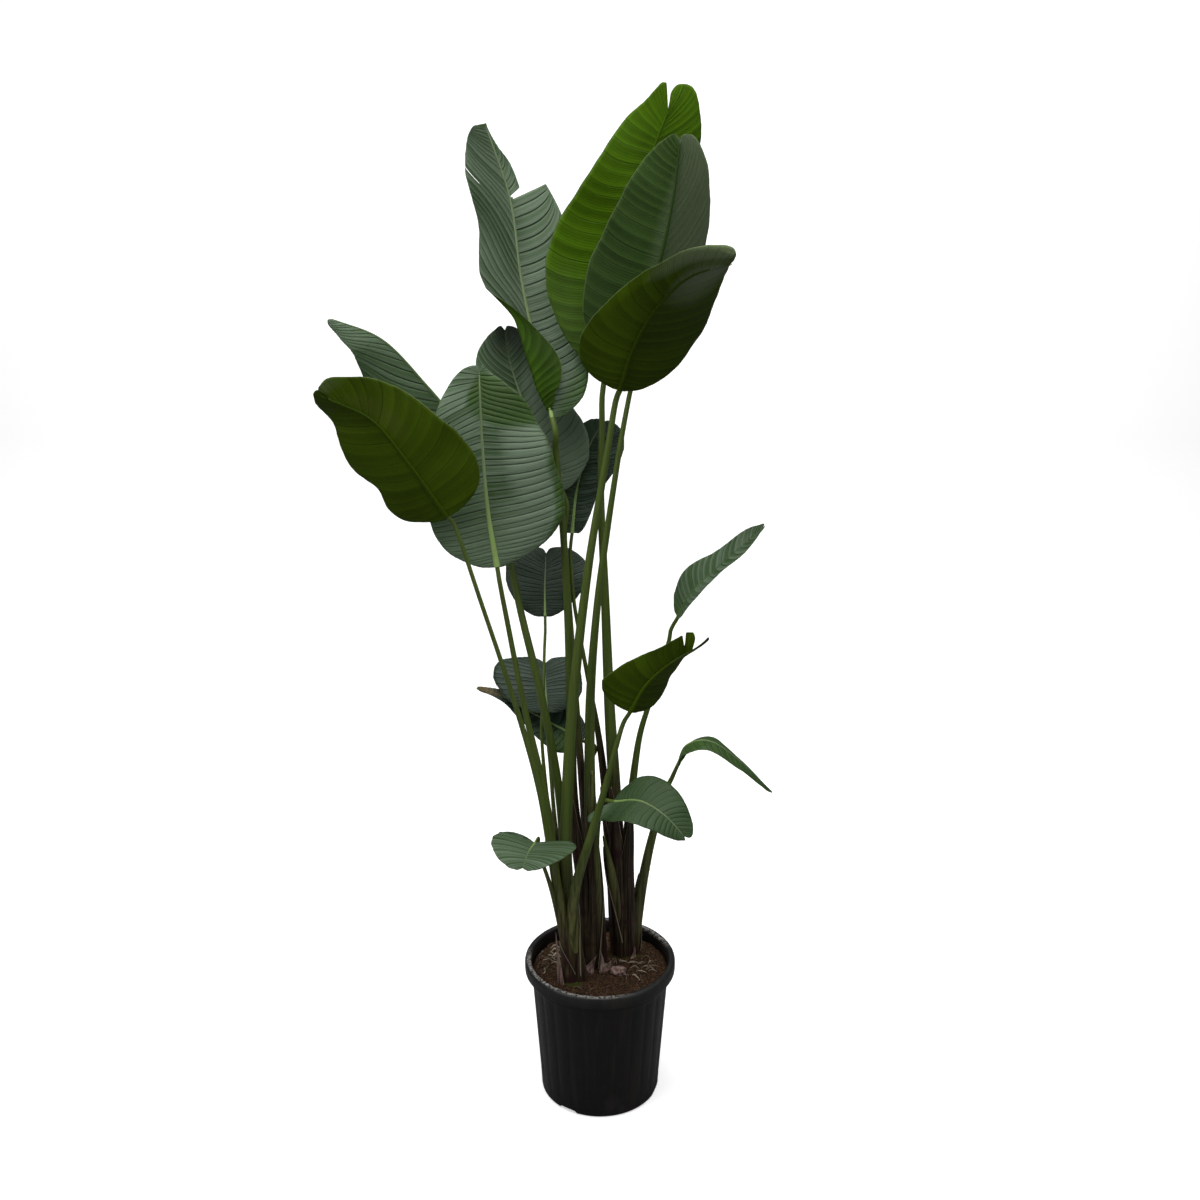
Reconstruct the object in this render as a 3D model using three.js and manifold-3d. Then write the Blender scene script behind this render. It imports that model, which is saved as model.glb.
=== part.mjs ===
// A potted bird of paradise, about 2.2 m tall: a ribbed black nursery pot filled with soil, three fans of
// sheathed leaf stalks, and seventeen paddle leaves. Millimetres, +Z up. The origin is the middle of the
// pot's underside, and -Y is the side that the plant shows to the room.
import * as THREE from "three";
import { mergeVertices } from "three/addons/utils/BufferGeometryUtils.js";
import Module from "manifold-3d";

const wasm = await Module();
wasm.setup();

// Pot: a tapered, thin-walled nursery pot with a folded-over rim and drain notches round its foot.
const POT_HEIGHT = 330;
const RIM_RADIUS = 170;
const RIM_DROP = 27; // height of the rim's outer skirt
const POT_TOP_RADIUS = 158; // outside of the wall, under the rim
const POT_FOOT_RADIUS = 135;
const POT_WALL = 2.5;
const POT_FLOOR = 3;
const FOOT_CHAMFER = 5;
const NOTCH_WIDTH = 46;
const NOTCH_HEIGHT = 9;
const NOTCH_DEPTH = 14;
const NOTCH_ANGLES = [-123, -16, 57, 164]; // degrees from +X, about +Z
const POT_SIDES = 56;

// Soil and the fans' crowns, the thick stems that go down through it.
const SOIL_TOP = 305;
const SOIL_GAP = 0.3;
const CROWN_FOOT = 235; // how low the crowns reach in the soil
const CROWN_TOP = 316;
const CROWN_SIDES = 20;

// Leaves
const BLADE_THICKNESS = 1.2;
const KEEL = [4.5, 3.2, 2, 0.8]; // how deep the midrib stands under the blade, from the stalk to the tip
const KEEL_HALF = 3.5; // half its width
const TEAR_GAP = 0.004; // half of a tear, as a part of the rib
const ROLL_CLEAR = 0.15; // a blade rolls over no nearer to its rib, as a part of its width
const BEND_STEPS = 30;
const STALK_SIDES = 6;
const STALK_LEAD = 35; // the last length of a stalk, in line with the midrib
const STALK_GAP = 0.7; // between a stalk's end and its blade

const COLOURS = {
  pot: [0x1b1c1b, 0.55],
  soil: [0x33261b, 1.0],
  stalk: [0x3d5a26, 0.45],
  blade: [0x3d5a3a, 0.5],
};

// The three fans. A crown is its centre, half lengths and turn; a stalk is its path and its widths at the
// crown, at the middle and at the leaf.
const FANS = {
  left: { crown: { at: [-56, -60], half: [24, 20], turn: 20 } },
  centre: { crown: { at: [-14, 14], half: [26, 23], turn: 40 } },
  right: { crown: { at: [56, 50], half: [36, 24], turn: 10 } },
};

const STALKS = [
  { leaf: "far_left_front", fan: "left", radii: [14, 9, 5, 4],
    path: [
      [-57, -60, 309], [-75, -70, 438], [-95, -80, 566],
      [-126, -95, 785], [-176, -105, 991], [-238, -115, 1208],
    ] },
  { leaf: "large_front", fan: "left", radii: [14, 9, 6.5, 4.5],
    path: [
      [-54, -58, 309], [-73, -60, 432], [-93, -64, 557],
      [-115, -67, 749], [-158, -70, 967], [-189, -73, 1153],
    ] },
  { leaf: "far_left_back", fan: "left", radii: [14, 10, 8, 6],
    path: [[-58, -55, 309], [-72, -50, 500], [-86, -40, 737], [-120, -26, 951], [-170, -2, 1174]] },
  { leaf: "small_round", fan: "left", radii: [12, 7, 3.6, 3.2],
    path: [
      [-58, -52, 309], [-82, -40, 494], [-107, -25, 657],
      [-125, 0, 859], [-121, 28, 967], [-120, 65, 1038],
    ] },
  { leaf: "low_arched", fan: "left", radii: [12, 7, 4.5, 3.5],
    path: [[-54, -48, 309], [-75, -28, 489], [-97, 0, 645], [-110, 36, 795], [-117, 52, 860]] },
  { leaf: "left_low", fan: "left", radii: [12, 8, 4.5, 3.2],
    path: [[-62, -64, 309], [-84, -78, 444], [-103, -86, 540], [-119, -91, 600], [-132, -96, 640]] },
  { leaf: "top_front", fan: "left", radii: [16, 13, 9, 5.5],
    path: [
      [-51, -55, 309], [-64, -58, 455], [-74, -60, 603], [-70, -62, 747],
      [-56, -66, 976], [-24, -72, 1258], [12, -80, 1483],
    ] },
  { leaf: "right_middle", fan: "left", radii: [15, 12, 8, 4.5],
    path: [
      [-47, -52, 309], [-59, -68, 424], [-54, -88, 546],
      [-21, -102, 678], [6, -110, 781], [31, -118, 886],
    ] },
  { leaf: "torn", fan: "centre", radii: [16, 12, 8, 6],
    path: [
      [-23, 5, 309], [-31, 5, 469], [-59, 5, 714], [-62, 6, 902],
      [-67, 6, 1127], [-76, 5, 1321], [-89, 2, 1482],
    ] },
  { leaf: "top_cupped", fan: "centre", radii: [17, 13, 8, 5],
    path: [
      [-18, 5, 309], [-16, 0, 472], [-22, -12, 723], [-21, -20, 958],
      [-6, -24, 1169], [16, -27, 1340], [40, -29, 1503],
    ] },
  { leaf: "dark_back", fan: "centre", radii: [15, 10, 7, 5],
    path: [
      [-18, 15, 309], [-23, 30, 505], [-36, 48, 694],
      [-52, 62, 926], [-66, 72, 1150], [-74, 80, 1290],
    ] },
  { leaf: "low_dry_tip", fan: "centre", radii: [13, 9, 6.5, 4.5],
    path: [[-14, 20, 309], [-18, 45, 497], [-20, 68, 660], [-24, 76, 760]] },
  { leaf: "right_low", fan: "centre", radii: [16, 11, 7, 4.5],
    path: [[-5, 5, 309], [-4, -8, 476], [-8, -25, 600], [-4, -36, 680]] },
  { leaf: "top_right", fan: "right", radii: [20, 14, 9, 5.5],
    path: [
      [51, 50, 309], [41, 52, 543], [31, 54, 739], [20, 55, 929],
      [11, 56, 1156], [2, 57, 1373], [4, 58, 1520],
    ] },
  { leaf: "slim_back", fan: "right", radii: [16, 11, 5, 3.6],
    path: [
      [46, 60, 309], [27, 66, 555], [0, 70, 816],
      [-31, 72, 1000], [-54, 76, 1133], [-62, 84, 1224],
    ] },
  { leaf: "right_high", fan: "right", radii: [18, 12, 6.5, 4],
    path: [[65, 50, 309], [61, 46, 571], [81, 36, 819], [108, 26, 940], [143, 10, 1071]] },
  { leaf: "right_drooping", fan: "right", radii: [15, 12, 8.5, 4],
    path: [[74, 58, 309], [94, 62, 462], [117, 63, 592], [148, 61, 710]] },
  // the old sheath of a lost leaf, which leans out of its fan
  { fan: "right", radii: [13, 13, 11, 3],
    path: [[50, 48, 309], [46, 42, 371], [35, 36, 464], [20, 32, 549], [8, 28, 615]] },
];

// The leaves. rib is the midrib from the stalk to the tip. up is the way the upper face looks at the two
// ends of the rib. sweep is how far the side veins lean towards the tip, in degrees, at the stalk, middle
// and tip. Each half has its widths, from the stalk to the tip and closer together near the ends, its fold
// above the flat at the rib and its further bend across, in degrees at the two ends. A half may also have a
// sweep of its own, be rolled over past a part of its width, and be torn or nicked along its side veins.
const LEAVES = [
  {
    name: "top_right", rows: 14, wave: [7, 2.5, 0.1],
    rib: [[8, 60, 1616], [26, 68, 1777], [59, 80, 1921], [98, 98, 2047], [132, 112, 2132]],
    up: [[-0.3, 0.85, 0.3], [-0.3, 0.85, 0.35]], sweep: [-10, 20, 68],
    left: {
      w: [4, 30, 70, 115, 150, 165, 160, 150, 138, 126, 108, 72, 36], fold: [5, 5], curl: [12, 12],
      sweep: [-10, 8, 22, 50, 98],
    },
    right: { w: [4, 22, 55, 106, 146, 148, 127, 105, 86, 72, 66, 62, 55], fold: [5, 5], curl: [12, 12] },
  },
  {
    name: "top_cupped", rows: 14, wave: [4, 2, 0.3],
    rib: [[61, -30, 1618], [92, -50, 1776], [119, -75, 1887], [135, -95, 1976], [144, -110, 2065]],
    up: [[0.1, 0.9, 0.3], [0.1, 0.9, 0.3]], sweep: [-10, 22, 66],
    left: {
      w: [4, 30, 68, 105, 132, 138, 132, 120, 106, 88, 62, 30, 10], fold: [42, 38], curl: [22, 16],
      sweep: [-10, 8, 22, 46, 90],
    },
    right: { w: [4, 35, 80, 125, 140, 130, 118, 105, 86, 64, 42, 25, 10], fold: [8, 8], curl: [16, 16] },
  },
  {
    name: "top_front", rows: 14, wave: [4, 2, 0],
    rib: [[38, -90, 1620], [64, -128, 1706], [104, -178, 1782], [158, -234, 1838], [222, -275, 1860]],
    up: [[0, 0.8, 0.5], [-0.3, 0.6, 0.7]], sweep: [-25, -5, 14, 42, 94],
    left: {
      w: [4, 31, 73, 114, 143, 150, 136, 114, 90, 68, 46, 24, 8], fold: [10, 10], curl: [20, 20],
      columns: 5,
    },
    right: {
      w: [4, 33, 76, 103, 101, 84, 69, 62, 60, 57, 50, 36, 12], fold: [10, 10], curl: [25, 25],
      columns: 7, roll: { start: [1.6, 0.5], span: 0.4, turn: 90 },
    },
  },
  {
    name: "torn", rows: 20, wave: [5, 3, 0.2],
    rib: [[-96, 8, 1551], [-127, 62, 1670], [-160, 118, 1819], [-181, 155, 1968], [-230, 180, 2114]],
    up: [[-0.2, -0.9, 0.3], [-0.2, -0.9, 0.3]], sweep: [-10, 8, 24],
    left: {
      w: [4, 12, 40, 80, 98, 62, 84, 78, 78, 74, 56, 36, 20], fold: [15, 25], curl: [0, 0],
      sweep: [10, 15, 15, 15, 12, 5], columns: 9,
      roll: { start: [0.4, 0.3, 0.2, 0.15, 0.36, 1.2, 1.5, 1.5, 1.5, 1.5, 1.5], span: 0.22, turn: 170 },
    },
    right: {
      w: [4, 35, 72, 95, 106, 114, 118, 106, 80], fold: [-17, -14], curl: [-10, -10],
      tear: { at: 0.67, beyond: [28, 26, 13, 5, 3, 3], lean: 18 },
    },
  },
  {
    name: "far_left_front", rows: 14, wave: [5, 2.5, 0.15],
    rib: [[-297, -125, 1379], [-359, -165, 1489], [-420, -190, 1577], [-496, -205, 1619]],
    up: [[-0.25, 0.8, 0.5], [-0.4, 0.7, 0.55]], sweep: [-15, 8, 42, 112],
    left: { w: [4, 45, 92, 112, 115, 105, 92, 80, 74, 64, 46, 26, 12], fold: [8, 8], curl: [15, 15] },
    right: { w: [4, 34, 78, 98, 92, 112, 104, 88, 78, 66, 50, 32, 14], fold: [8, 8], curl: [15, 15] },
  },
  {
    name: "far_left_back", rows: 12, wave: [4, 2, 0],
    rib: [[-226, 40, 1422], [-281, 48, 1520], [-354, 55, 1612], [-437, 58, 1700], [-537, 60, 1741]],
    up: [[-0.1, -0.8, 0.55], [-0.2, -0.75, 0.6]], sweep: [-10, 15, 50],
    left: { w: [4, 45, 88, 112, 112, 78, 45, 20, 8], fold: [-5, -5], curl: [-15, -15] },
    right: { w: [4, 45, 75, 85, 85, 72, 50, 22, 8], fold: [-80, -80], curl: [-15, -15] },
  },
  {
    name: "large_front", rows: 14, wave: [5, 3, 0.4],
    rib: [[-206, -75, 1265], [-223, -62, 1379], [-233, -38, 1515], [-238, -5, 1648]],
    up: [[0.05, -0.9, 0.4], [0.05, -0.85, 0.5]], sweep: [-8, 12, 55],
    left: { w: [4, 30, 62, 98, 115, 124, 122, 110, 90, 70, 45, 22, 10], fold: [8, 8], curl: [-18, -18] },
    right: { w: [4, 30, 80, 130, 154, 158, 144, 124, 98, 62, 32, 18, 10], fold: [8, 8], curl: [-18, -18] },
  },
  {
    name: "dark_back", rows: 12, wave: [4, 2.5, 0],
    rib: [[-80, 85, 1388], [-108, 95, 1470], [-151, 108, 1548], [-184, 122, 1643], [-195, 130, 1711]],
    up: [[-0.1, -0.9, 0.4], [-0.2, -0.85, 0.5]], sweep: [-15, 15, 60],
    left: { w: [4, 22, 42, 60, 74, 84, 90, 88, 74, 52, 32, 20, 12], fold: [12, 12], curl: [-20, -20] },
    right: { w: [4, 22, 48, 78, 92, 90, 82, 74, 64, 48, 32, 18, 12], fold: [12, 12], curl: [-20, -20] },
  },
  {
    name: "slim_back", rows: 10, wave: [4, 2, 0],
    rib: [[-59, 90, 1294], [-49, 105, 1383], [-27, 118, 1462], [2, 128, 1519]],
    up: [[0, -0.9, 0.4], [0, -0.9, 0.4]], sweep: [-15, 20, 60],
    left: { w: [4, 22, 42, 54, 56, 48, 36, 20, 8], fold: [10, 10], curl: [-10, -10] },
    right: { w: [4, 22, 36, 50, 78, 82, 60, 30, 10], fold: [15, 15], curl: [-10, -10] },
  },
  {
    name: "small_round", rows: 10, wave: [3, 2, 0],
    rib: [[-119, 100, 1106], [-120, 130, 1167], [-118, 165, 1228]],
    up: [[0, -0.8, 0.6], [0, -0.6, 0.8]], sweep: [-20, 8, 60],
    left: { w: [4, 22, 46, 70, 88, 90, 62, 28, 10], fold: [8, 8], curl: [-15, -15] },
    right: { w: [4, 20, 44, 72, 96, 93, 63, 30, 10], fold: [8, 8], curl: [-15, -15] },
  },
  {
    name: "low_arched", rows: 10, wave: [4, 2, 0.2],
    rib: [[-116, 65, 897], [-120, 110, 931], [-124, 175, 969]],
    up: [[0, -0.5, 0.85], [0, -0.3, 0.95]], sweep: [-20, 5, 50],
    left: { w: [4, 20, 44, 74, 102, 126, 116, 60, 16], fold: [5, 5], curl: [-25, -25] },
    right: { w: [4, 20, 44, 72, 84, 86, 84, 50, 16], fold: [5, 5], curl: [-25, -25] },
  },
  {
    name: "low_dry_tip", rows: 10,
    rib: [[-40, 80, 824], [-89, 95, 847], [-156, 115, 877], [-217, 135, 905], [-274, 150, 921]],
    up: [[0.1, -0.6, 0.75], [0.1, -0.6, 0.75]], sweep: [-20, 15, 50],
    left: { w: [4, 30, 54, 50, 30, 14, 9, 7, 4], fold: [5, 5], curl: [-25, -25] },
    right: { w: [4, 26, 55, 68, 46, 24, 14, 8, 4], fold: [5, 5], curl: [-25, -25] },
  },
  {
    name: "right_high", rows: 10, wave: [3, 2, 0],
    rib: [[163, 0, 1136], [190, -15, 1195], [235, -30, 1246], [287, -45, 1300], [326, -55, 1340]],
    up: [[-0.7, -0.25, 0.6], [-0.7, -0.2, 0.6]], sweep: [-10, 20, 60],
    left: { w: [4, 38, 56, 58, 46, 36, 25, 16, 8], fold: [12, 12], curl: [5, 5] },
    right: { w: [4, 20, 33, 42, 42, 38, 27, 16, 8], fold: [4, 4], curl: [8, 8] },
  },
  {
    name: "right_middle", rows: 10, wave: [4, 2, 0],
    rib: [[61, -125, 973], [92, -145, 1039], [134, -165, 1089], [180, -180, 1125]],
    up: [[0.1, 0.7, 0.6], [0.2, 0.5, 0.8]], sweep: [-20, 10, 60],
    left: { w: [4, 34, 60, 64, 48, 44, 54, 52, 42], fold: [15, 15], curl: [20, 20] },
    right: {
      w: [4, 50, 84, 68, 49, 46, 47, 46, 26], fold: [15, 15], curl: [20, 20],
      nicks: [{ at: 0.8, depth: 0.75, open: 0.018 }],
    },
  },
  {
    name: "right_drooping", rows: 10,
    rib: [[172, 58, 774], [190, 50, 824], [240, 38, 839], [305, 22, 799], [373, 5, 736]],
    up: [[-0.2, 0.05, 0.95], [0.35, 0.1, 0.9]], sweep: [-10, 20, 60],
    left: { w: [4, 25, 42, 48, 48, 42, 30, 15, 5], fold: [-5, -5], curl: [-8, -8] },
    right: { w: [4, 24, 38, 42, 38, 33, 24, 13, 5], fold: [-12, -12], curl: [-8, -8] },
  },
  {
    name: "right_low", rows: 10, wave: [3, 1.5, 0],
    rib: [[32, -45, 734], [84, -85, 755], [133, -125, 743], [174, -150, 707]],
    up: [[0.1, -0.5, 0.85], [0.4, -0.7, 0.6]], sweep: [-25, 10, 60],
    left: { w: [4, 38, 64, 76, 70, 56, 42, 24, 10], fold: [5, 5], curl: [-15, -15] },
    right: {
      w: [16, 78, 68, 68, 64, 48, 30, 16, 10], fold: [16, 3], curl: [-15, -15],
      sweep: [-58, -18, 18, 60],
    },
  },
  {
    name: "left_low", rows: 10,
    rib: [[-138, -95, 662], [-146, -140, 670], [-152, -185, 675], [-156, -225, 674]],
    up: [[0, -0.3, 0.95], [0, -0.8, 0.6]], sweep: [-8, 5, 50],
    left: {
      w: [4, 62, 92, 96, 84, 62, 40, 22, 8], fold: [16, 8], curl: [-4, -15],
      columns: 6,
    },
    right: {
      w: [4, 70, 82, 86, 78, 62, 42, 24, 8], fold: [14, 6], curl: [-4, -15],
      columns: 6, roll: { start: [0.58, 2.6], span: 0.3, turn: 90 },
    },
  },
];

function vector(p) {
  return new THREE.Vector3(...p);
}

function smoothPath(points) {
  return new THREE.CatmullRomCurve3(points.map(vector), false, "catmullrom", 0.5);
}

// A value between the numbers of a list, along a smooth line through them.
function along(list, s) {
  const x = Math.min(Math.max(s, 0), 1) * (list.length - 1);
  const i = Math.min(Math.floor(x), list.length - 2);
  const w = x - i;
  const b = list[i];
  const c = list[i + 1];
  const a = i > 0 ? list[i - 1] : 2 * b - c;
  const d = i + 2 < list.length ? list[i + 2] : 2 * c - b;
  return (
    0.5 * (2 * b + (c - a) * w + (2 * a - 5 * b + 4 * c - d) * w * w + (3 * b - a - 3 * c + d) * w ** 3)
  );
}

function straight(pair, s) {
  return pair[0] + (pair[1] - pair[0]) * s;
}

// The width of a half blade, short of its nicks, and of the flap that is left beyond a tear.
function widthAt(half, s) {
  const { tear, nicks = [] } = half;
  const end = tear ? tear.at : 1;
  let width = s <= end ? along(half.w, s / end) : along(tear.beyond, (s - end) / (1 - end));
  for (const { at, depth, open } of nicks)
    if (Math.abs(s - at) < open) width *= 1 - depth * (1 - Math.abs(s - at) / open);
  return Math.max(3, width);
}

// How far a rolled margin has turned at v: none before it starts, all of it after its span.
function rollAt(roll, s, v) {
  const begin = Math.max(ROLL_CLEAR, along(roll.start, s));
  return roll.turn * THREE.MathUtils.smoothstep(v, begin, begin + roll.span);
}

// The places along the rib, from the stalk (0) to the tip (1), where the blade has a row of points.
function rowsOf({ rows, left, right }) {
  const extra = [];
  for (const { tear, nicks = [] } of [left, right]) {
    if (tear) extra.push(tear.at - TEAR_GAP, tear.at + TEAR_GAP);
    for (const { at, open } of nicks) extra.push(at - open, at, at + open);
  }
  const even = Array.from({ length: rows + 1 }, (_, i) => i / rows);
  const clear = even.filter((s) => extra.every((other) => Math.abs(s - other) > 0.012));
  return [...clear, ...extra].sort((a, b) => a - b);
}

// Where the side veins of one half lie at s, as points at each v from the rib (0) to the edge (1).
function veinLine(leaf, curve, half, sign, s, places) {
  const t = (1 - Math.cos(Math.PI * s)) / 2;
  const ahead = curve.getTangent(t);
  const up = vector(leaf.up[0]).lerp(vector(leaf.up[1]), t);
  up.addScaledVector(ahead, -up.dot(ahead)).normalize();
  const out = new THREE.Vector3().crossVectors(ahead, up).multiplyScalar(sign);
  const beyond = half.tear && s > half.tear.at ? half.tear.lean : 0;
  const lean = THREE.MathUtils.degToRad(s > 0 ? along(half.sweep ?? leaf.sweep, s) + beyond : 0);
  out.multiplyScalar(Math.cos(lean)).addScaledVector(ahead, Math.sin(lean));
  const width = widthAt(half, s);
  const [height, count, phase] = leaf.wave ?? [0, 1, 0];
  const ripple = height * Math.sin(Math.PI * s) * Math.sin(2 * Math.PI * (count * t + phase + 0.3 * sign));
  const path = [curve.getPoint(t)];
  for (let k = 0; k < BEND_STEPS; k++) {
    const v = (k + 0.5) / BEND_STEPS;
    const turn = half.roll ? rollAt(half.roll, s, v) : 0;
    const bend = THREE.MathUtils.degToRad(straight(half.fold, s) + straight(half.curl, s) * v + turn);
    const next = path[k].clone().addScaledVector(out, (Math.cos(bend) * width) / BEND_STEPS);
    path.push(next.addScaledVector(up, (Math.sin(bend) * width) / BEND_STEPS));
  }
  return places(width).map((v) => {
    const k = Math.min(Math.floor(v * BEND_STEPS), BEND_STEPS - 1);
    const point = path[k].clone().lerp(path[k + 1], v * BEND_STEPS - k);
    return point.addScaledVector(up, ripple * v * v);
  });
}

// A thin solid on a grid of points, its triangles alike on both faces, with a keel under the rib column.
function sheet(grid, thickness, rib, keel) {
  const rows = grid.length;
  const columns = grid[0].length;
  const place = [];
  const normal = new THREE.Vector3();
  const a = new THREE.Vector3();
  const b = new THREE.Vector3();
  for (const sign of [1, -1])
    for (let i = 0; i < rows; i++)
      for (let j = 0; j < columns; j++) {
        a.subVectors(grid[Math.min(i + 1, rows - 1)][j], grid[Math.max(i - 1, 0)][j]);
        b.subVectors(grid[i][Math.min(j + 1, columns - 1)], grid[i][Math.max(j - 1, 0)]);
        normal.crossVectors(b, a).normalize();
        const depth = thickness / 2 + (j === rib && sign < 0 ? along(keel, i / (rows - 1)) : 0);
        place.push(...grid[i][j].clone().addScaledVector(normal, sign * depth).toArray());
      }
  const faces = [];
  const top = (i, j) => i * columns + j;
  const under = (i, j) => (rows + i) * columns + j;
  const quad = (p, q, r, s) => faces.push(p, q, r, p, r, s);
  for (let i = 0; i < rows - 1; i++)
    for (let j = 0; j < columns - 1; j++) {
      quad(top(i, j), top(i, j + 1), top(i + 1, j + 1), top(i + 1, j));
      faces.push(under(i, j), under(i + 1, j + 1), under(i, j + 1));
      faces.push(under(i, j), under(i + 1, j), under(i + 1, j + 1));
    }
  const last = columns - 1;
  for (let i = 0; i < rows - 1; i++) {
    quad(top(i, 0), top(i + 1, 0), under(i + 1, 0), under(i, 0));
    quad(top(i + 1, last), top(i, last), under(i, last), under(i + 1, last));
  }
  for (let j = 0; j < last; j++) {
    quad(top(0, j + 1), top(0, j), under(0, j), under(0, j + 1));
    quad(top(rows - 1, j), top(rows - 1, j + 1), under(rows - 1, j + 1), under(rows - 1, j));
  }
  return solid(place, faces);
}

function solid(vertices, triangles) {
  return new wasm.Manifold(
    new wasm.Mesh({
      numProp: 3,
      vertProperties: new Float32Array(vertices),
      triVerts: new Uint32Array(triangles),
    }),
  );
}

function solidOf(geometry) {
  const bare = geometry.index ? geometry.toNonIndexed() : geometry.clone();
  bare.deleteAttribute("normal");
  bare.deleteAttribute("uv");
  const merged = mergeVertices(bare, 1e-3);
  return solid(merged.attributes.position.array, merged.index.array);
}

function geometryOf(body) {
  const mesh = body.getMesh();
  const geometry = new THREE.BufferGeometry();
  geometry.setAttribute("position", new THREE.BufferAttribute(new Float32Array(mesh.vertProperties), 3));
  geometry.setIndex(new THREE.BufferAttribute(new Uint32Array(mesh.triVerts), 1));
  geometry.computeVertexNormals();
  return geometry;
}

function joined(bodies) {
  return bodies.reduce((whole, body) => whole.add(body));
}

// A round stem whose radius changes smoothly along a path, with closed ends.
function stem(curve, radii, steps, sides) {
  const frames = curve.computeFrenetFrames(steps, false);
  const place = [];
  for (let i = 0; i <= steps; i++) {
    const centre = curve.getPointAt(i / steps);
    const radius = along(radii, i / steps);
    for (let j = 0; j < sides; j++) {
      const angle = (2 * Math.PI * j) / sides;
      const rim = centre.clone();
      rim.addScaledVector(frames.normals[i], radius * Math.cos(angle));
      rim.addScaledVector(frames.binormals[i], radius * Math.sin(angle));
      place.push(...rim.toArray());
    }
  }
  const faces = [];
  for (let i = 0; i < steps; i++)
    for (let j = 0; j < sides; j++) {
      const a = i * sides + j;
      const b = i * sides + ((j + 1) % sides);
      faces.push(a, b, b + sides, a, b + sides, a + sides);
    }
  for (let j = 1; j < sides - 1; j++) {
    faces.push(0, j + 1, j);
    faces.push(steps * sides, steps * sides + j, steps * sides + j + 1);
  }
  return solid(place, faces);
}

function material(kind) {
  const [color, roughness] = COLOURS[kind];
  return new THREE.MeshStandardMaterial({ color, roughness, metalness: 0 });
}

function mesh(name, geometry, kind) {
  const made = new THREE.Mesh(geometry, material(kind));
  made.name = name;
  return made;
}

// The pot, turned as one thin wall with its rim folded outwards and down, and notched at the foot.
function pot() {
  const inner = POT_TOP_RADIUS - POT_WALL;
  const skirt = POT_HEIGHT - RIM_DROP;
  const profile = [
    [0, 0],
    [POT_FOOT_RADIUS - FOOT_CHAMFER, 0],
    [POT_FOOT_RADIUS, FOOT_CHAMFER],
    [POT_TOP_RADIUS, POT_HEIGHT - POT_WALL - 1],
    [RIM_RADIUS - POT_WALL - 1, POT_HEIGHT - POT_WALL - 1],
    [RIM_RADIUS - POT_WALL, skirt],
    [RIM_RADIUS, skirt],
    [RIM_RADIUS, POT_HEIGHT - 4],
    [RIM_RADIUS - 2, POT_HEIGHT - 1],
    [RIM_RADIUS - 5, POT_HEIGHT],
    [inner + 3, POT_HEIGHT],
    [inner, POT_HEIGHT - 3],
    [POT_FOOT_RADIUS - POT_WALL, POT_FLOOR + FOOT_CHAMFER],
    [POT_FOOT_RADIUS - POT_WALL - FOOT_CHAMFER, POT_FLOOR],
    [0, POT_FLOOR],
  ].map(([r, z]) => new THREE.Vector2(r, z));
  const turned = new THREE.LatheGeometry(profile, POT_SIDES).rotateX(Math.PI / 2);
  let body = solidOf(turned);
  for (const angle of NOTCH_ANGLES) {
    const slot = new THREE.BoxGeometry(2 * NOTCH_DEPTH, NOTCH_WIDTH, 2 * NOTCH_HEIGHT);
    slot.translate(POT_FOOT_RADIUS, 0, 0).rotateZ(THREE.MathUtils.degToRad(angle));
    body = body.subtract(solidOf(slot));
  }
  return body;
}

function wallAt(z) {
  const rise = (z - FOOT_CHAMFER) / (POT_HEIGHT - FOOT_CHAMFER);
  return POT_FOOT_RADIUS + (POT_TOP_RADIUS - POT_FOOT_RADIUS) * rise - POT_WALL;
}

// The crown of a fan, or with a gap the plain hole that it stands in.
function crown({ at, half, turn }, gap, top) {
  const post = new THREE.CylinderGeometry(1, 1, top - CROWN_FOOT + gap, CROWN_SIDES).rotateX(Math.PI / 2);
  post.scale(half[0] + gap, half[1] + gap, 1).rotateZ(THREE.MathUtils.degToRad(turn));
  return solidOf(post.translate(at[0], at[1], (top + CROWN_FOOT - gap) / 2));
}

// The soil fills the pot from above the notches to a little under the rim.
function soil() {
  const low = NOTCH_HEIGHT + POT_FLOOR;
  const slack = 0.5;
  const profile = [
    [0, low],
    [wallAt(low) - slack, low],
    [wallAt(SOIL_TOP) - slack, SOIL_TOP],
    [0, SOIL_TOP],
  ].map(([r, z]) => new THREE.Vector2(r, z));
  let body = solidOf(new THREE.LatheGeometry(profile, POT_SIDES).rotateX(Math.PI / 2));
  for (const fan of Object.values(FANS)) body = body.subtract(crown(fan.crown, SOIL_GAP, SOIL_TOP + 20));
  return body;
}

// A stalk bends into line with its leaf's midrib just before it meets it.
function stalk({ leaf, path, radii }) {
  const points = [...path];
  if (leaf) {
    const { rib } = LEAVES.find(({ name }) => name === leaf);
    const ahead = smoothPath(rib).getTangent(0);
    for (const back of [STALK_LEAD, STALK_GAP])
      points.push(vector(rib[0]).addScaledVector(ahead, -back).toArray());
  }
  return stem(smoothPath(points), radii, Math.round(1.4 * points.length), STALK_SIDES);
}

function fan(side) {
  const stalks = STALKS.filter((one) => one.fan === side).map(stalk);
  return joined([crown(FANS[side].crown, 0, CROWN_TOP), ...stalks]);
}

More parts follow.
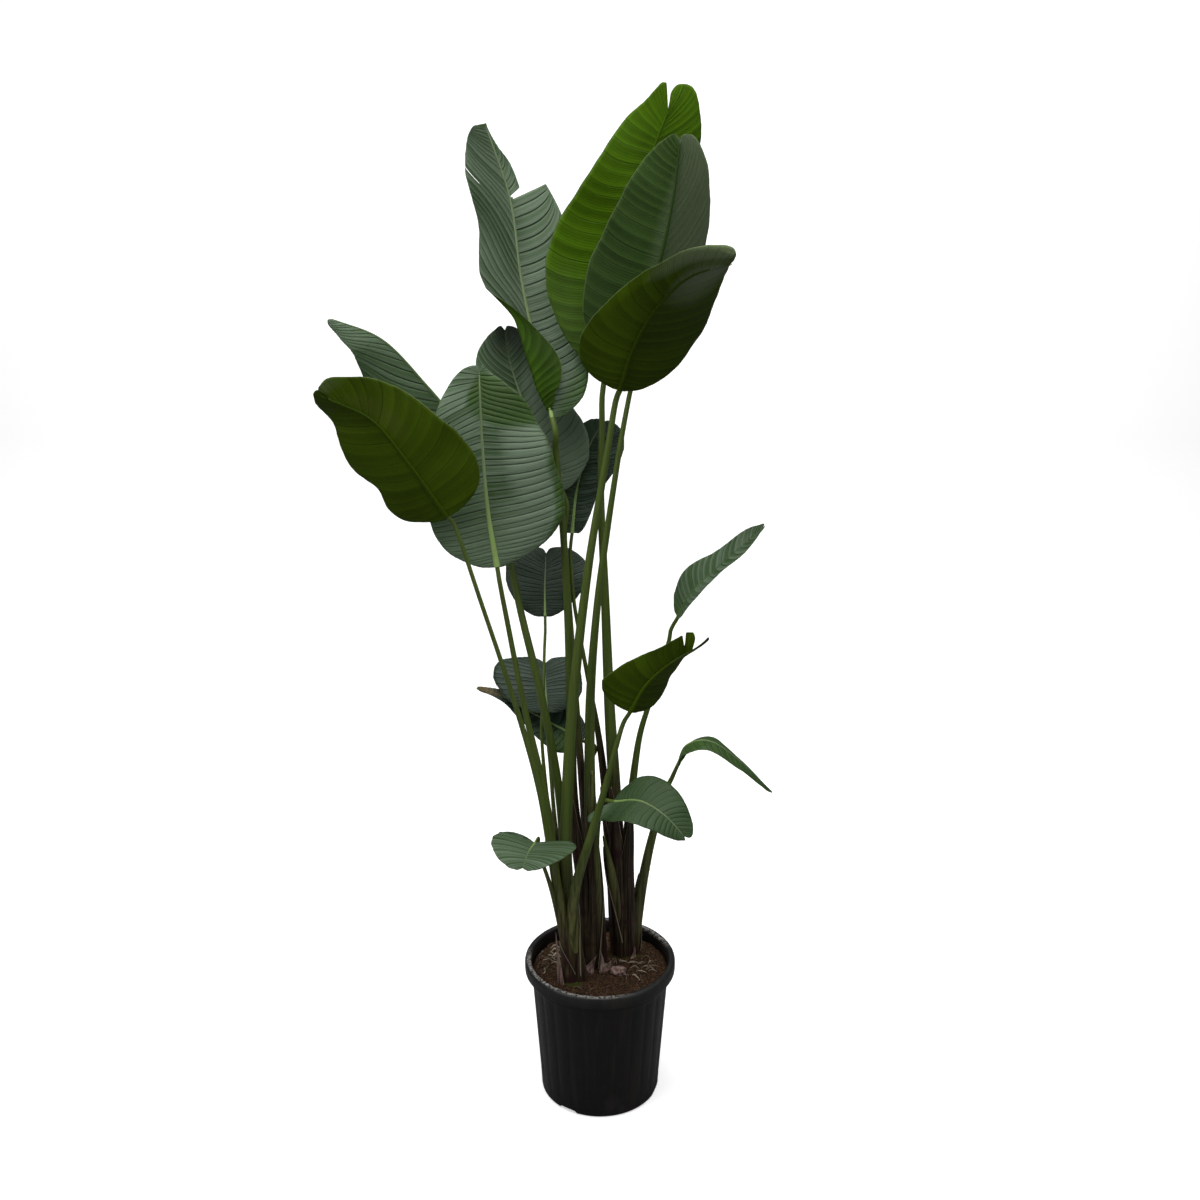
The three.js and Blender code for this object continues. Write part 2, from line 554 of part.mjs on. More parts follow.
function blade(leaf) {
  const curve = smoothPath(leaf.rib);
  const places = (half) => (width) => {
    const columns = half.columns ?? 3;
    const even = Array.from({ length: columns }, (_, i) => (i + 1) / columns);
    return [Math.min(0.6 / columns, KEEL_HALF / width), ...even];
  };
  const grid = rowsOf(leaf).map((s) => {
    const left = veinLine(leaf, curve, leaf.left, -1, s, places(leaf.left));
    const right = veinLine(leaf, curve, leaf.right, 1, s, places(leaf.right));
    return [...left.reverse(), curve.getPoint((1 - Math.cos(Math.PI * s)) / 2), ...right];
  });
  return sheet(grid, BLADE_THICKNESS, (leaf.left.columns ?? 3) + 1, KEEL);
}

const plant = new THREE.Group();
plant.add(mesh("pot", geometryOf(pot()), "pot"));
plant.add(mesh("soil", geometryOf(soil()), "soil"));
for (const side of Object.keys(FANS)) plant.add(mesh(`stalks_${side}`, geometryOf(fan(side)), "stalk"));
for (const leaf of LEAVES) plant.add(mesh(`leaf_${leaf.name}`, geometryOf(blade(leaf)), "blade"));

export default plant;
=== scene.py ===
import math
import random

import bmesh
import bpy
import numpy as np
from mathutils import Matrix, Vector, noise


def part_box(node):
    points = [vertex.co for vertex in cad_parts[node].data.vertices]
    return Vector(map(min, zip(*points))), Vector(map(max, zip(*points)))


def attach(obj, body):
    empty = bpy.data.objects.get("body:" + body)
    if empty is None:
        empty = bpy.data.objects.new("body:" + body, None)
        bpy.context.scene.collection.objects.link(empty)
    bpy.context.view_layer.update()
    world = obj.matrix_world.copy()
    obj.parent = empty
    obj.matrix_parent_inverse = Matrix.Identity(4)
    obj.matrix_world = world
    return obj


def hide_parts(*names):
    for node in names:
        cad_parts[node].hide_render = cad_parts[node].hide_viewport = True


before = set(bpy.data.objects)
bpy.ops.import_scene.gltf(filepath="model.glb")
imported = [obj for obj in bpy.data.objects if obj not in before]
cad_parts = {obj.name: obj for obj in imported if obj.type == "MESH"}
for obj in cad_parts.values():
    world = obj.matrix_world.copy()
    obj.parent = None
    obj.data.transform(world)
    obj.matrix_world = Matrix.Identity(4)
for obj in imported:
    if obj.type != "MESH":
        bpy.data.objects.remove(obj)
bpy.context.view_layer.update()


# ---- Pot --------------------------------------------------------------------------------------------
# A round nursery pot, moulded in one thin wall of recycled black plastic. Its side has broad shallow
# flutes under a plain band, its rim is folded out and down, and drain notches are cut round its foot.

MM = 0.001
POT_HEIGHT, RIM_RADIUS, RIM_DROP = 330, 170, 27
POT_TOP_RADIUS, POT_FOOT_RADIUS, POT_WALL, POT_FLOOR = 158, 135, 2.5, 3
FLUTES, FLUTE_DEPTH, FLUTE_TOP, FLUTE_FOOT = 26, 1.6, 284, 26
NOTCH_WIDTH, NOTCH_HEIGHT, NOTCH_DEPTH, NOTCH_STEPS = 46, 9, 14, 12
NOTCH_ANGLES = (-123, -16, 57, 164)
POT_SIDES = 312


def wall_at(z):
    """The outside radius of the pot's wall."""
    return POT_FOOT_RADIUS + (POT_TOP_RADIUS - POT_FOOT_RADIUS) * (z - 5) / (POT_HEIGHT - 5)


def new_piece(name, points, faces, edges=()):
    """A mesh object at the origin, from points in metres."""
    shape = bpy.data.meshes.new(name)
    shape.from_pydata([tuple(p) for p in points], list(edges), list(faces))
    shape.validate()
    piece = bpy.data.objects.new(name, shape)
    bpy.context.scene.collection.objects.link(piece)
    return piece


def turned(name, profile, sides, radius_at):
    """A closed body turned about Z. radius_at may draw a point of the profile in, by its angle."""
    rings, points, faces = [], [], []
    for number, (r, z) in enumerate(profile):
        if r == 0:
            rings.append([len(points)] * sides)
            points.append((0, 0, z * MM))
            continue
        rings.append([len(points) + k for k in range(sides)])
        for k in range(sides):
            angle = 2 * math.pi * k / sides
            reach = radius_at(number, r, z, angle) * MM
            points.append((reach * math.cos(angle), reach * math.sin(angle), z * MM))
    for low, high in zip(rings, rings[1:]):
        for k in range(sides):
            corners = [low[k], low[(k + 1) % sides], high[(k + 1) % sides], high[k]]
            faces.append(list(dict.fromkeys(corners)))
    return new_piece(name, points, faces)


def plain_mesh(piece):
    """Turns the piece with its modifiers into a plain mesh."""
    shown = piece.evaluated_get(bpy.context.evaluated_depsgraph_get())
    shape = bpy.data.meshes.new_from_object(shown)
    piece.modifiers.clear()
    piece.data = shape


def fit_on(piece, finish, slot, *nodes):
    """Gives a finished piece its material, unless its shape tree did, and its place in the plant."""
    if finish:
        piece.data.materials.clear()
        piece.data.materials.append(finish)
    piece.data.shade_smooth()
    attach(piece, "root")
    if nodes:
        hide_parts(*nodes)


def node(tree, kind, inputs=None, **settings):
    """A new node of a tree. An input is a value, or the output of another node."""
    made = tree.nodes.new(kind)
    for name, value in settings.items():
        setattr(made, name, value)
    for name, value in (inputs or {}).items():
        if isinstance(value, bpy.types.NodeSocket):
            tree.links.new(value, made.inputs[name])
        else:
            made.inputs[name].default_value = value
    return made


def step(tree, kind, inputs=None, **settings):
    """The first output of a new node."""
    return node(tree, kind, inputs, **settings).outputs[0]


def maths(tree, work, *values):
    """The result of one sum on numbers or sockets."""
    return step(tree, "ShaderNodeMath", dict(enumerate(values)), operation=work)


def times(tree, first, second):
    return maths(tree, "MULTIPLY", first, second)


def plus(tree, first, second):
    return maths(tree, "ADD", first, second)


def minus(tree, first, second):
    return maths(tree, "SUBTRACT", first, second)


def axis_of(tree, vector, axis):
    """A vector's X, Y or Z."""
    return node(tree, "ShaderNodeSeparateXYZ", {0: vector}).outputs[axis]


def ramp(tree, value, start, end, low=0.0, high=1.0):
    """A smooth change from low to high while value goes from start to end."""
    limits = {"Value": value, "From Min": start, "From Max": end, "To Min": low, "To Max": high}
    return step(tree, "ShaderNodeMapRange", limits, interpolation_type="SMOOTHSTEP")


def blend(tree, share, first, second):
    """Two colours mixed by a share. A colour is three numbers or a socket."""
    first, second = ((*tone, 1) if isinstance(tone, tuple) else tone for tone in (first, second))
    return node(tree, "ShaderNodeMix", {0: share, 6: first, 7: second}, data_type="RGBA").outputs[2]


def laid(tree, colour, mask, strength, over):
    """A colour with another laid over it where a mask is strong."""
    return blend(tree, times(tree, mask, strength), colour, over)


def grain(tree, where, scale, detail=3.0, rough=0.55):
    """Soft noise from 0 to 1 over the surface."""
    values = {"Vector": where, "Scale": scale, "Detail": detail, "Roughness": rough}
    return step(tree, "ShaderNodeTexNoise", values)


def stretched(tree, where, x, y, z):
    """Coordinates scaled along each axis."""
    return step(tree, "ShaderNodeMapping", {"Vector": where, "Scale": (x, y, z)})


def start_finish(name, **surface):
    """A new material, with its tree, its surface shader and its object coordinates."""
    finish = bpy.data.materials.new(name)
    finish.use_nodes = True
    tree = finish.node_tree
    shader = tree.nodes["Principled BSDF"]
    for socket, value in surface.items():
        shader.inputs[socket.replace("_", " ")].default_value = value
    return finish, tree, shader, node(tree, "ShaderNodeTexCoord").outputs["Object"]


def end_finish(tree, shader, colour, relief, depth, strength, roughness=None):
    """Sends a finish its colour, its fine relief, whose depth is in millimetres, and its roughness."""
    bump = step(tree, "ShaderNodeBump", {"Height": relief, "Distance": depth * MM, "Strength": strength})
    tree.links.new(bump, shader.inputs["Normal"])
    tree.links.new(colour, shader.inputs["Base Color"])
    if roughness is not None:
        tree.links.new(roughness, shader.inputs["Roughness"])


def start_group(name, inputs, outputs):
    """A shader node group of numbers and vectors, with its way in and its way out."""
    group = bpy.data.node_groups.new(name, "ShaderNodeTree")
    for way, sockets in (("INPUT", inputs), ("OUTPUT", outputs)):
        for label, kind in sockets.items():
            group.interface.new_socket(label, in_out=way, socket_type="NodeSocket" + kind)
    return group, node(group, "NodeGroupInput").outputs, node(group, "NodeGroupOutput").inputs


# dust and dirt lie in soft uneven patches on everything outdoors
dust_group, given, result = start_group(
    "dust", {"Where": "Vector", "Patch size": "Float", "Cover": "Float"}, {"Mask": "Float"}
)
dust_scale = maths(dust_group, "DIVIDE", 1.0, given["Patch size"])
dust_patches = grain(dust_group, given["Where"], dust_scale, 5.0, 0.62)
dust_from = minus(dust_group, 0.78, times(dust_group, given["Cover"], 0.5))
dust_mask = ramp(dust_group, dust_patches, dust_from, plus(dust_group, dust_from, 0.2))
dust_group.links.new(dust_mask, result["Mask"])


def dust(tree, where, patch, cover):
    """A mask of dust in patches of a size in metres."""
    inputs = {"Where": where, "Patch size": patch, "Cover": cover}
    return step(tree, "ShaderNodeGroup", inputs, node_tree=dust_group)


pot_inside = POT_TOP_RADIUS - POT_WALL
pot_skirt = POT_HEIGHT - RIM_DROP
pot_profile = [(0, 1.5), (108, 1.5), (111, 0), (129, 0), (132.5, 1.4), (134.4, 3.6), (wall_at(8), 8)]
pot_outside = [14, 22, 26, 32, 44, 80, 120, 160, 200, 240, 262, 276, 280, 284, 285.5, 287, 292, 298]
outer_points = range(len(pot_profile), len(pot_profile) + len(pot_outside))
pot_profile += [(wall_at(z), z) for z in pot_outside]
pot_profile += [
    (wall_at(304), 304), (wall_at(312) + 0.5, 314), (wall_at(318) + 3, 320), (RIM_RADIUS - 5, 321.5),
    (RIM_RADIUS - 3.2, 318), (RIM_RADIUS - 2.6, pot_skirt + 1), (RIM_RADIUS - 1.6, pot_skirt),
    (RIM_RADIUS - 0.4, pot_skirt + 0.8), (RIM_RADIUS - 0.1, pot_skirt + 4), (RIM_RADIUS, POT_HEIGHT - 14),
    (RIM_RADIUS - 0.1, POT_HEIGHT - 7), (RIM_RADIUS - 0.9, POT_HEIGHT - 3.6),
    (RIM_RADIUS - 2.4, POT_HEIGHT - 1.6), (RIM_RADIUS - 4.6, POT_HEIGHT - 0.4),
    (RIM_RADIUS - 7.2, POT_HEIGHT), (pot_inside + 3.4, POT_HEIGHT - 0.3),
    (pot_inside + 1.4, POT_HEIGHT - 1.4), (pot_inside + 0.2, POT_HEIGHT - 3.6), (pot_inside - 0.6, 316),
    (wall_at(300) - POT_WALL, 300), (wall_at(200) - POT_WALL, 200), (wall_at(20) - POT_WALL, 20),
    (POT_FOOT_RADIUS - POT_WALL - 1.5, POT_FLOOR + 4), (POT_FOOT_RADIUS - 9, POT_FLOOR), (0, POT_FLOOR),
]


def fluted(number, r, z, angle):
    """The wall is drawn in along each flute, a little unevenly, as thin plastic is."""
    wander = 0.5 * math.sin(2 * angle + 0.7) + 0.35 * math.sin(3 * angle + z * 0.01)
    if number not in outer_points:
        return r + (0.3 * wander if r > 100 and z > 20 else 0)
    run = min(1, max(0, (FLUTE_TOP - z) / 9)) * min(1, max(0, (z - FLUTE_FOOT) / 12))
    wave = abs(math.cos(FLUTES * angle / 2)) ** 0.7
    inset = 0.5 if z < FLUTE_TOP else 0
    return r - inset - FLUTE_DEPTH * run * (1 - wave) + 0.3 * wander


pot = turned("pot_shell", pot_profile, POT_SIDES, fluted)
notch_points, notch_faces = [], []
arch = NOTCH_STEPS + 1
for angle in NOTCH_ANGLES:
    turn = math.radians(angle)
    start = len(notch_points)
    for depth in (-NOTCH_DEPTH, NOTCH_DEPTH):
        for k in range(arch):
            side = math.pi * k / NOTCH_STEPS
            across = NOTCH_WIDTH / 2 * math.copysign(abs(math.cos(side)) ** 0.5, math.cos(side))
            rise = NOTCH_HEIGHT * math.sin(side) ** 0.5 if 0 < k < NOTCH_STEPS else -6
            reach = POT_FOOT_RADIUS + depth
            x = reach * math.cos(turn) - across * math.sin(turn)
            y = reach * math.sin(turn) + across * math.cos(turn)
            notch_points.append((x * MM, y * MM, rise * MM))
    notch_faces.append([start + k for k in range(arch)][::-1])
    notch_faces.append([start + arch + k for k in range(arch)])
    for k in range(arch):
        after = (k + 1) % arch
        notch_faces.append([start + k, start + after, start + arch + after, start + arch + k])
notches = new_piece("notches", notch_points, notch_faces)
cut = pot.modifiers.new("notches", "BOOLEAN")
cut.object = notches
cut.operation = "DIFFERENCE"
cut.solver = "EXACT"
plain_mesh(pot)
bpy.data.objects.remove(notches)

pot_finish, tree, shader, where = start_finish("black_nursery_plastic", Specular_IOR_Level=0.3)
height_up = axis_of(tree, where, "Z")
scuffs = grain(tree, stretched(tree, where, 60, 60, 5), 3.0, 4.0)
dusty = times(tree, dust(tree, where, 0.05, 0.55), ramp(tree, height_up, 0.13, 0.0, 0.15, 0.8))
plastic = blend(tree, scuffs, (0.003, 0.003, 0.003), (0.007, 0.007, 0.0068))
plastic = laid(tree, plastic, dusty, 0.30, (0.055, 0.05, 0.042))
streaked = ramp(tree, grain(tree, stretched(tree, where, 34, 34, 2.5), 1.0, 4.0, 0.6), 0.48, 0.66)
plastic = laid(tree, plastic, streaked, 0.5, (0.022, 0.017, 0.011))
# dried lime along the rim, thick on the inner edge at the front left and the back right
lime_side = plus(tree, times(tree, axis_of(tree, where, "X"), 0.8), axis_of(tree, where, "Y"))
lime_at = maths(tree, "MAXIMUM", ramp(tree, lime_side, -0.08, -0.15), ramp(tree, lime_side, 0.15, 0.2))
from_middle = stretched(tree, where, 1, 1, 0)
reach_out = node(tree, "ShaderNodeVectorMath", {0: from_middle}, operation="LENGTH").outputs["Value"]
rim_zone = times(tree, ramp(tree, height_up, 0.3200, 0.3260), ramp(tree, reach_out, 0.1680, 0.1635))
lime = times(tree, dust(tree, where, 0.007, 0.72), times(tree, rim_zone, lime_at))
plastic = laid(tree, plastic, lime, 0.9, (0.55, 0.53, 0.49))
worn = ramp(tree, height_up, 0.300, 0.325, 0.0, 0.55)
plastic = laid(tree, plastic, worn, scuffs, (0.04, 0.041, 0.042))
gloss = ramp(tree, plus(tree, scuffs, dusty), 0.2, 1.3, 0.30, 0.66)
pebbled = plus(tree, grain(tree, where, 900.0, 2.0), times(tree, scuffs, 0.7))
end_finish(tree, shader, plastic, pebbled, 0.25, 0.5, gloss)
fit_on(pot, pot_finish, "pot", "pot")


# ---- Potting mix ------------------------------------------------------------------------------------
# Coarse peat and bark that fills the pot to 25 mm under its rim. It is one body of mix, with loose
# crumbs and bark chips lying on its top, and it is heaped a little round the plants.

SOIL_TOP, SOIL_WALL_TOP, SOIL_FOOT, SOIL_GAP, SOIL_RINGS, SOIL_SIDES = 305, 296, 12, 0.6, 74, 220
CRUMBS, CHIPS, SOIL_SEED = 5200, 520, 7
SOIL_TOP_AREA = 0.073
SOIL_RADIUS, HEAP_HEIGHT, HEAP_SPREAD, WALL_SINK = 153, 6.0, 1500.0, 5.0
FANS = {"left": (-56, -60), "centre": (-14, 14), "right": (56, 50)}


def soil_height(x, y):
    """The top of the mix: lumpy, higher round each fan, and sunk along the wall."""
    lumps = 3.2 * noise.noise((x * 0.021, y * 0.021, 3.0)) + 1.5 * noise.noise((x * 0.07, y * 0.07, 9.0))
    lumps += 0.9 * noise.noise((x * 0.21, y * 0.21, 5.0)) + 0.45 * noise.noise((x * 0.5, y * 0.5, 2.0))
    apart = [(x - fan[0]) ** 2 + (y - fan[1]) ** 2 for fan in FANS.values()]
    heap = sum(HEAP_HEIGHT * math.exp(-square / HEAP_SPREAD) for square in apart)
    sunk = WALL_SINK * max(0.0, math.hypot(x, y) / SOIL_RADIUS - 0.9) / 0.1
    return SOIL_TOP - 1.5 + lumps + heap - sunk


soil_reach = wall_at(SOIL_TOP) - POT_WALL - SOIL_GAP
soil_profile = [(0, SOIL_FOOT), (wall_at(SOIL_FOOT) - POT_WALL - SOIL_GAP, SOIL_FOOT)]
soil_profile += [(soil_reach, SOIL_WALL_TOP)]
soil_profile += [(soil_reach * ring / SOIL_RINGS, SOIL_TOP) for ring in range(SOIL_RINGS - 1, -1, -1)]
soil = turned("potting_mix", soil_profile, SOIL_SIDES, lambda number, r, z, angle: r)
for vertex in soil.data.vertices:
    if vertex.co.z > (SOIL_WALL_TOP + 1) * MM:
        vertex.co.z = soil_height(vertex.co.x / MM, vertex.co.y / MM) * MM


def start_shape_tree(name, inputs):
    """A geometry node tree with named inputs, its way in and its way out."""
    tree = bpy.data.node_groups.new(name, "GeometryNodeTree")
    tree.interface.new_socket("Geometry", in_out="INPUT", socket_type="NodeSocketGeometry")
    for label, kind in inputs.items():
        tree.interface.new_socket(label, in_out="INPUT", socket_type="NodeSocket" + kind)
    tree.interface.new_socket("Geometry", in_out="OUTPUT", socket_type="NodeSocketGeometry")
    return tree, node(tree, "NodeGroupInput").outputs, node(tree, "NodeGroupOutput").inputs


def end_shape_tree(tree, result, shape, material, **below):
    """Makes all of a shape real faces in their material. Faces picked out below get another one."""
    shape = step(tree, "GeometryNodeRealizeInstances", {"Geometry": shape})
    shape = step(tree, "GeometryNodeSetMaterial", {"Geometry": shape, "Material": material})
    if below:
        shape = step(tree, "GeometryNodeSetMaterial", {"Geometry": shape, **below})
    tree.links.new(shape, result["Geometry"])


def grow(piece, tree, **values):
    """Runs a shape tree on a piece with these values, and keeps the result as its plain mesh."""
    growth = piece.modifiers.new(tree.name, "NODES")
    growth.node_group = tree
    for item in tree.interface.items_tree:
        if item.in_out == "INPUT" and item.name.replace(" ", "_") in values:
            growth[item.identifier] = values[item.name.replace(" ", "_")]
    piece.update_tag()
    plain_mesh(piece)


# loose grains: lumpy little stones of mix, thrown over a surface with random turns and sizes
scatter_tree, given, result = start_shape_tree("loose_grains", {
    "Number": "Int", "Smallest": "Float", "Largest": "Float", "Flatness": "Float", "Seed": "Int",
    "Material": "Material",
})
facing = axis_of(scatter_tree, step(scatter_tree, "GeometryNodeInputNormal"), "Z")
spots = step(scatter_tree, "GeometryNodeDistributePointsOnFaces", {
    "Mesh": given["Geometry"], "Seed": given["Seed"],
    "Selection": step(scatter_tree, "FunctionNodeCompare", {0: facing, 1: 0.5}, operation="GREATER_THAN"),
    "Density": maths(scatter_tree, "DIVIDE", given["Number"], SOIL_TOP_AREA),
})
bumps = step(scatter_tree, "ShaderNodeTexNoise", {"Scale": 1.3, "Detail": 1.0}, noise_dimensions="3D")
push = minus(scatter_tree, times(scatter_tree, bumps, 2.4), 1.2)


def vectors(tree, work, *values):
    """The result of one sum on vectors. SCALE takes a number second."""
    keys = (0, 3) if work == "SCALE" else (0, 1)
    return step(tree, "ShaderNodeVectorMath", dict(zip(keys, values)), operation=work)


lump = step(scatter_tree, "GeometryNodeSetPosition", {
    "Geometry": step(scatter_tree, "GeometryNodeMeshIcoSphere", {"Radius": 1.0, "Subdivisions": 1}),
    "Offset": vectors(scatter_tree, "SCALE", step(scatter_tree, "GeometryNodeInputPosition"), push),
})
size = node(
    scatter_tree, "FunctionNodeRandomValue",
    {2: given["Smallest"], 3: given["Largest"], "Seed": given["Seed"]}, data_type="FLOAT",
).outputs[1]
skew, turn = (
    step(scatter_tree, "FunctionNodeRandomValue", {0: least, 1: most}, data_type="FLOAT_VECTOR")
    for least, most in (((0.6, 0.6, 0.6), (1.3, 1.0, 1.0)), ((-0.5, -0.5, 0.0), (0.5, 0.5, 6.283)))
)
flat = step(scatter_tree, "ShaderNodeCombineXYZ", {"X": 1.0, "Y": 1.0, "Z": given["Flatness"]})
scale = vectors(scatter_tree, "SCALE", vectors(scatter_tree, "MULTIPLY", skew, flat), size)
strewn = step(scatter_tree, "GeometryNodeInstanceOnPoints", {
    "Points": spots, "Instance": lump, "Rotation": turn, "Scale": scale,
})
end_shape_tree(scatter_tree, result, strewn, given["Material"])

soil_finish, tree, shader, where = start_finish("potting_mix", Roughness=0.95, Specular_IOR_Level=0.2)
fibres = grain(tree, where, 260.0, 5.0, 0.7)
earth = blend(tree, ramp(tree, fibres, 0.38, 0.66), (0.008, 0.004, 0.002), (0.115, 0.060, 0.028))
earth = laid(tree, earth, dust(tree, where, 0.03, 0.5), 0.7, (0.018, 0.010, 0.006))
end_finish(tree, shader, earth, fibres, 2.5, 0.9)

chip_finish, tree, shader, where = start_finish("bark_chips", Roughness=0.9, Specular_IOR_Level=0.2)
bark = grain(tree, where, 120.0, 4.0, 0.7)
bark_colour = blend(tree, ramp(tree, bark, 0.3, 0.7), (0.022, 0.011, 0.007), (0.16, 0.10, 0.06))
end_finish(tree, shader, bark_colour, bark, 1.0, 0.6)

# the grains are strewn over bare copies of the mix, before it is smoothed
for name, finish, number, smallest, largest, flatness, seed in (
    ("loose_crumbs", soil_finish, CRUMBS, 0.9, 3.0, 0.8, SOIL_SEED),
    ("bark_chips", chip_finish, CHIPS, 2.0, 5.0, 0.3, SOIL_SEED + 1),
):
    grains = bpy.data.objects.new(name, soil.data.copy())
    bpy.context.scene.collection.objects.link(grains)
    grow(grains, scatter_tree, Number=number, Smallest=smallest * MM, Largest=largest * MM,
         Flatness=flatness, Seed=seed, Material=finish)
    fit_on(grains, finish, "soil")
fit_on(soil, soil_finish, "soil", "soil")


# ---- Leaf stalks ------------------------------------------------------------------------------------
# Each leaf stands on a long solid green stalk. At its foot the stalk widens into a sheath that clasps
# the younger stalks, so that each fan rises from its crown as one brown and purple stem.

STALK_LEAD, STALK_STEPS, STALK_SIDES, STALK_CHANNEL = 35, 90, 20, 0.16
SHEATH_THICK, SHEATH_STEPS, SHEATH_RING, FINE_STEPS = 1.4, 44, 27, 1500
SHEATH_CLEAR, SHEATH_FLARE, SHEATH_WRAP, SHEATH_TIP = 0.6, 3.4, 2.4, 0.12
# A path runs from the crown to below the leaf. Radii go from its foot to its top. Ruddy is how brown the
# stalk is, and its sheath is so tall, with its back turned to this compass angle.
STALKS = [
    {"leaf": "far_left_front", "fan": "left", "radii": (14, 9, 5, 4), "ruddy": 0.3, "sheath": (220, 122),
     "path": [(-57, -60, 300), (-75, -70, 438), (-95, -80, 566), (-126, -95, 785), (-176, -105, 991),
              (-238, -115, 1208)]},
    {"leaf": "large_front", "fan": "left", "radii": (14, 9, 6.5, 4.5), "ruddy": 0.25, "sheath": (260, 100),
     "path": [(-54, -58, 300), (-73, -60, 432), (-93, -64, 557), (-115, -67, 749), (-158, -70, 967),
              (-189, -73, 1153)]},
    {"leaf": "far_left_back", "fan": "left", "radii": (14, 10, 8, 6), "ruddy": 0.3, "sheath": (300, 160),
     "path": [(-58, -55, 300), (-72, -50, 500), (-86, -40, 737), (-120, -26, 951), (-170, -2, 1174)]},
    {"leaf": "small_round", "fan": "left", "radii": (12, 7, 3.6, 3.2), "ruddy": 0.5, "sheath": (150, 90),
     "path": [(-58, -52, 300), (-82, -40, 494), (-107, -25, 657), (-125, 0, 859), (-121, 28, 967),
              (-120, 65, 1038)]},
    {"leaf": "low_arched", "fan": "left", "radii": (12, 7, 4.5, 3.5), "ruddy": 0.6, "sheath": (140, 60),
     "path": [(-54, -48, 300), (-75, -28, 489), (-97, 0, 645), (-110, 36, 795), (-117, 52, 860)]},
    {"leaf": "left_low", "fan": "left", "radii": (12, 8, 4.5, 3.2), "ruddy": 0.35, "sheath": (120, 200),
     "path": [(-62, -64, 300), (-84, -78, 444), (-103, -86, 540), (-119, -91, 600), (-132, -96, 640)]},
    {"leaf": "top_front", "fan": "left", "radii": (16, 13, 9, 5.5), "ruddy": 0.15, "sheath": (240, 300),
     "path": [(-51, -55, 300), (-64, -58, 455), (-74, -60, 603), (-70, -62, 747), (-56, -66, 976),
              (-24, -72, 1258), (12, -80, 1483)]},
    {"leaf": "right_middle", "fan": "left", "radii": (15, 12, 8, 4.5), "ruddy": 0.05, "sheath": (230, 65),
     "path": [(-47, -52, 300), (-59, -68, 424), (-54, -88, 546), (-21, -102, 678), (6, -110, 781),
              (31, -118, 886)]},
    {"leaf": "torn", "fan": "centre", "radii": (16, 12, 8, 6), "ruddy": 0.75, "sheath": (520, 230),
     "path": [(-23, 5, 300), (-31, 5, 469), (-59, 5, 714), (-62, 6, 902), (-67, 6, 1127), (-76, 5, 1321),
              (-89, 2, 1482)]},
    {"leaf": "top_cupped", "fan": "centre", "radii": (17, 13, 8, 5), "ruddy": 0.5, "sheath": (500, 290),
     "path": [(-18, 5, 300), (-16, 0, 472), (-22, -12, 723), (-21, -20, 958), (-6, -24, 1169),
              (16, -27, 1340), (40, -29, 1503)]},
    {"leaf": "dark_back", "fan": "centre", "radii": (15, 10, 7, 5), "ruddy": 0.9, "sheath": (340, 120),
     "path": [(-18, 15, 300), (-23, 30, 505), (-36, 48, 694), (-52, 62, 926), (-66, 72, 1150),
              (-74, 80, 1290)]},
    {"leaf": "low_dry_tip", "fan": "centre", "radii": (13, 9, 6.5, 4.5), "ruddy": 0.85, "sheath": (240, 80),
     "path": [(-14, 20, 300), (-18, 45, 497), (-20, 68, 660), (-24, 76, 760)]},
    {"leaf": "right_low", "fan": "centre", "radii": (16, 11, 7, 4.5), "ruddy": 0.3, "sheath": (320, 55),
     "path": [(-5, 5, 300), (-4, -8, 476), (-8, -25, 600), (-4, -36, 680)]},
    {"leaf": "top_right", "fan": "right", "radii": (20, 14, 9, 5.5), "ruddy": 0.7, "sheath": (430, 240),
     "path": [(51, 50, 300), (41, 52, 543), (31, 54, 739), (20, 55, 929), (11, 56, 1156), (2, 57, 1373),
              (4, 58, 1520)]},
    {"leaf": "slim_back", "fan": "right", "radii": (16, 11, 5, 3.6), "ruddy": 1.0, "sheath": (420, 200),
     "path": [(46, 60, 300), (27, 66, 555), (0, 70, 816), (-31, 72, 1000), (-54, 76, 1133),
              (-62, 84, 1224)]},
    {"leaf": "right_high", "fan": "right", "radii": (18, 12, 6.5, 4), "ruddy": 0.6, "sheath": (380, 290),
     "path": [(65, 50, 300), (61, 46, 571), (81, 36, 819), (108, 26, 940), (143, 10, 1071)]},
    {"leaf": "right_drooping", "fan": "right", "radii": (15, 12, 8.5, 4), "ruddy": 0.08, "sheath": (200, 150),
     "path": [(74, 58, 300), (94, 62, 462), (117, 63, 592), (148, 61, 710)]},
    {"leaf": None, "fan": "right", "radii": (13, 13, 11, 3), "ruddy": 0.3, "sheath": (290, 150),
     "path": [(50, 48, 300), (46, 42, 371), (35, 36, 464), (20, 32, 549), (8, 28, 615)]},
]
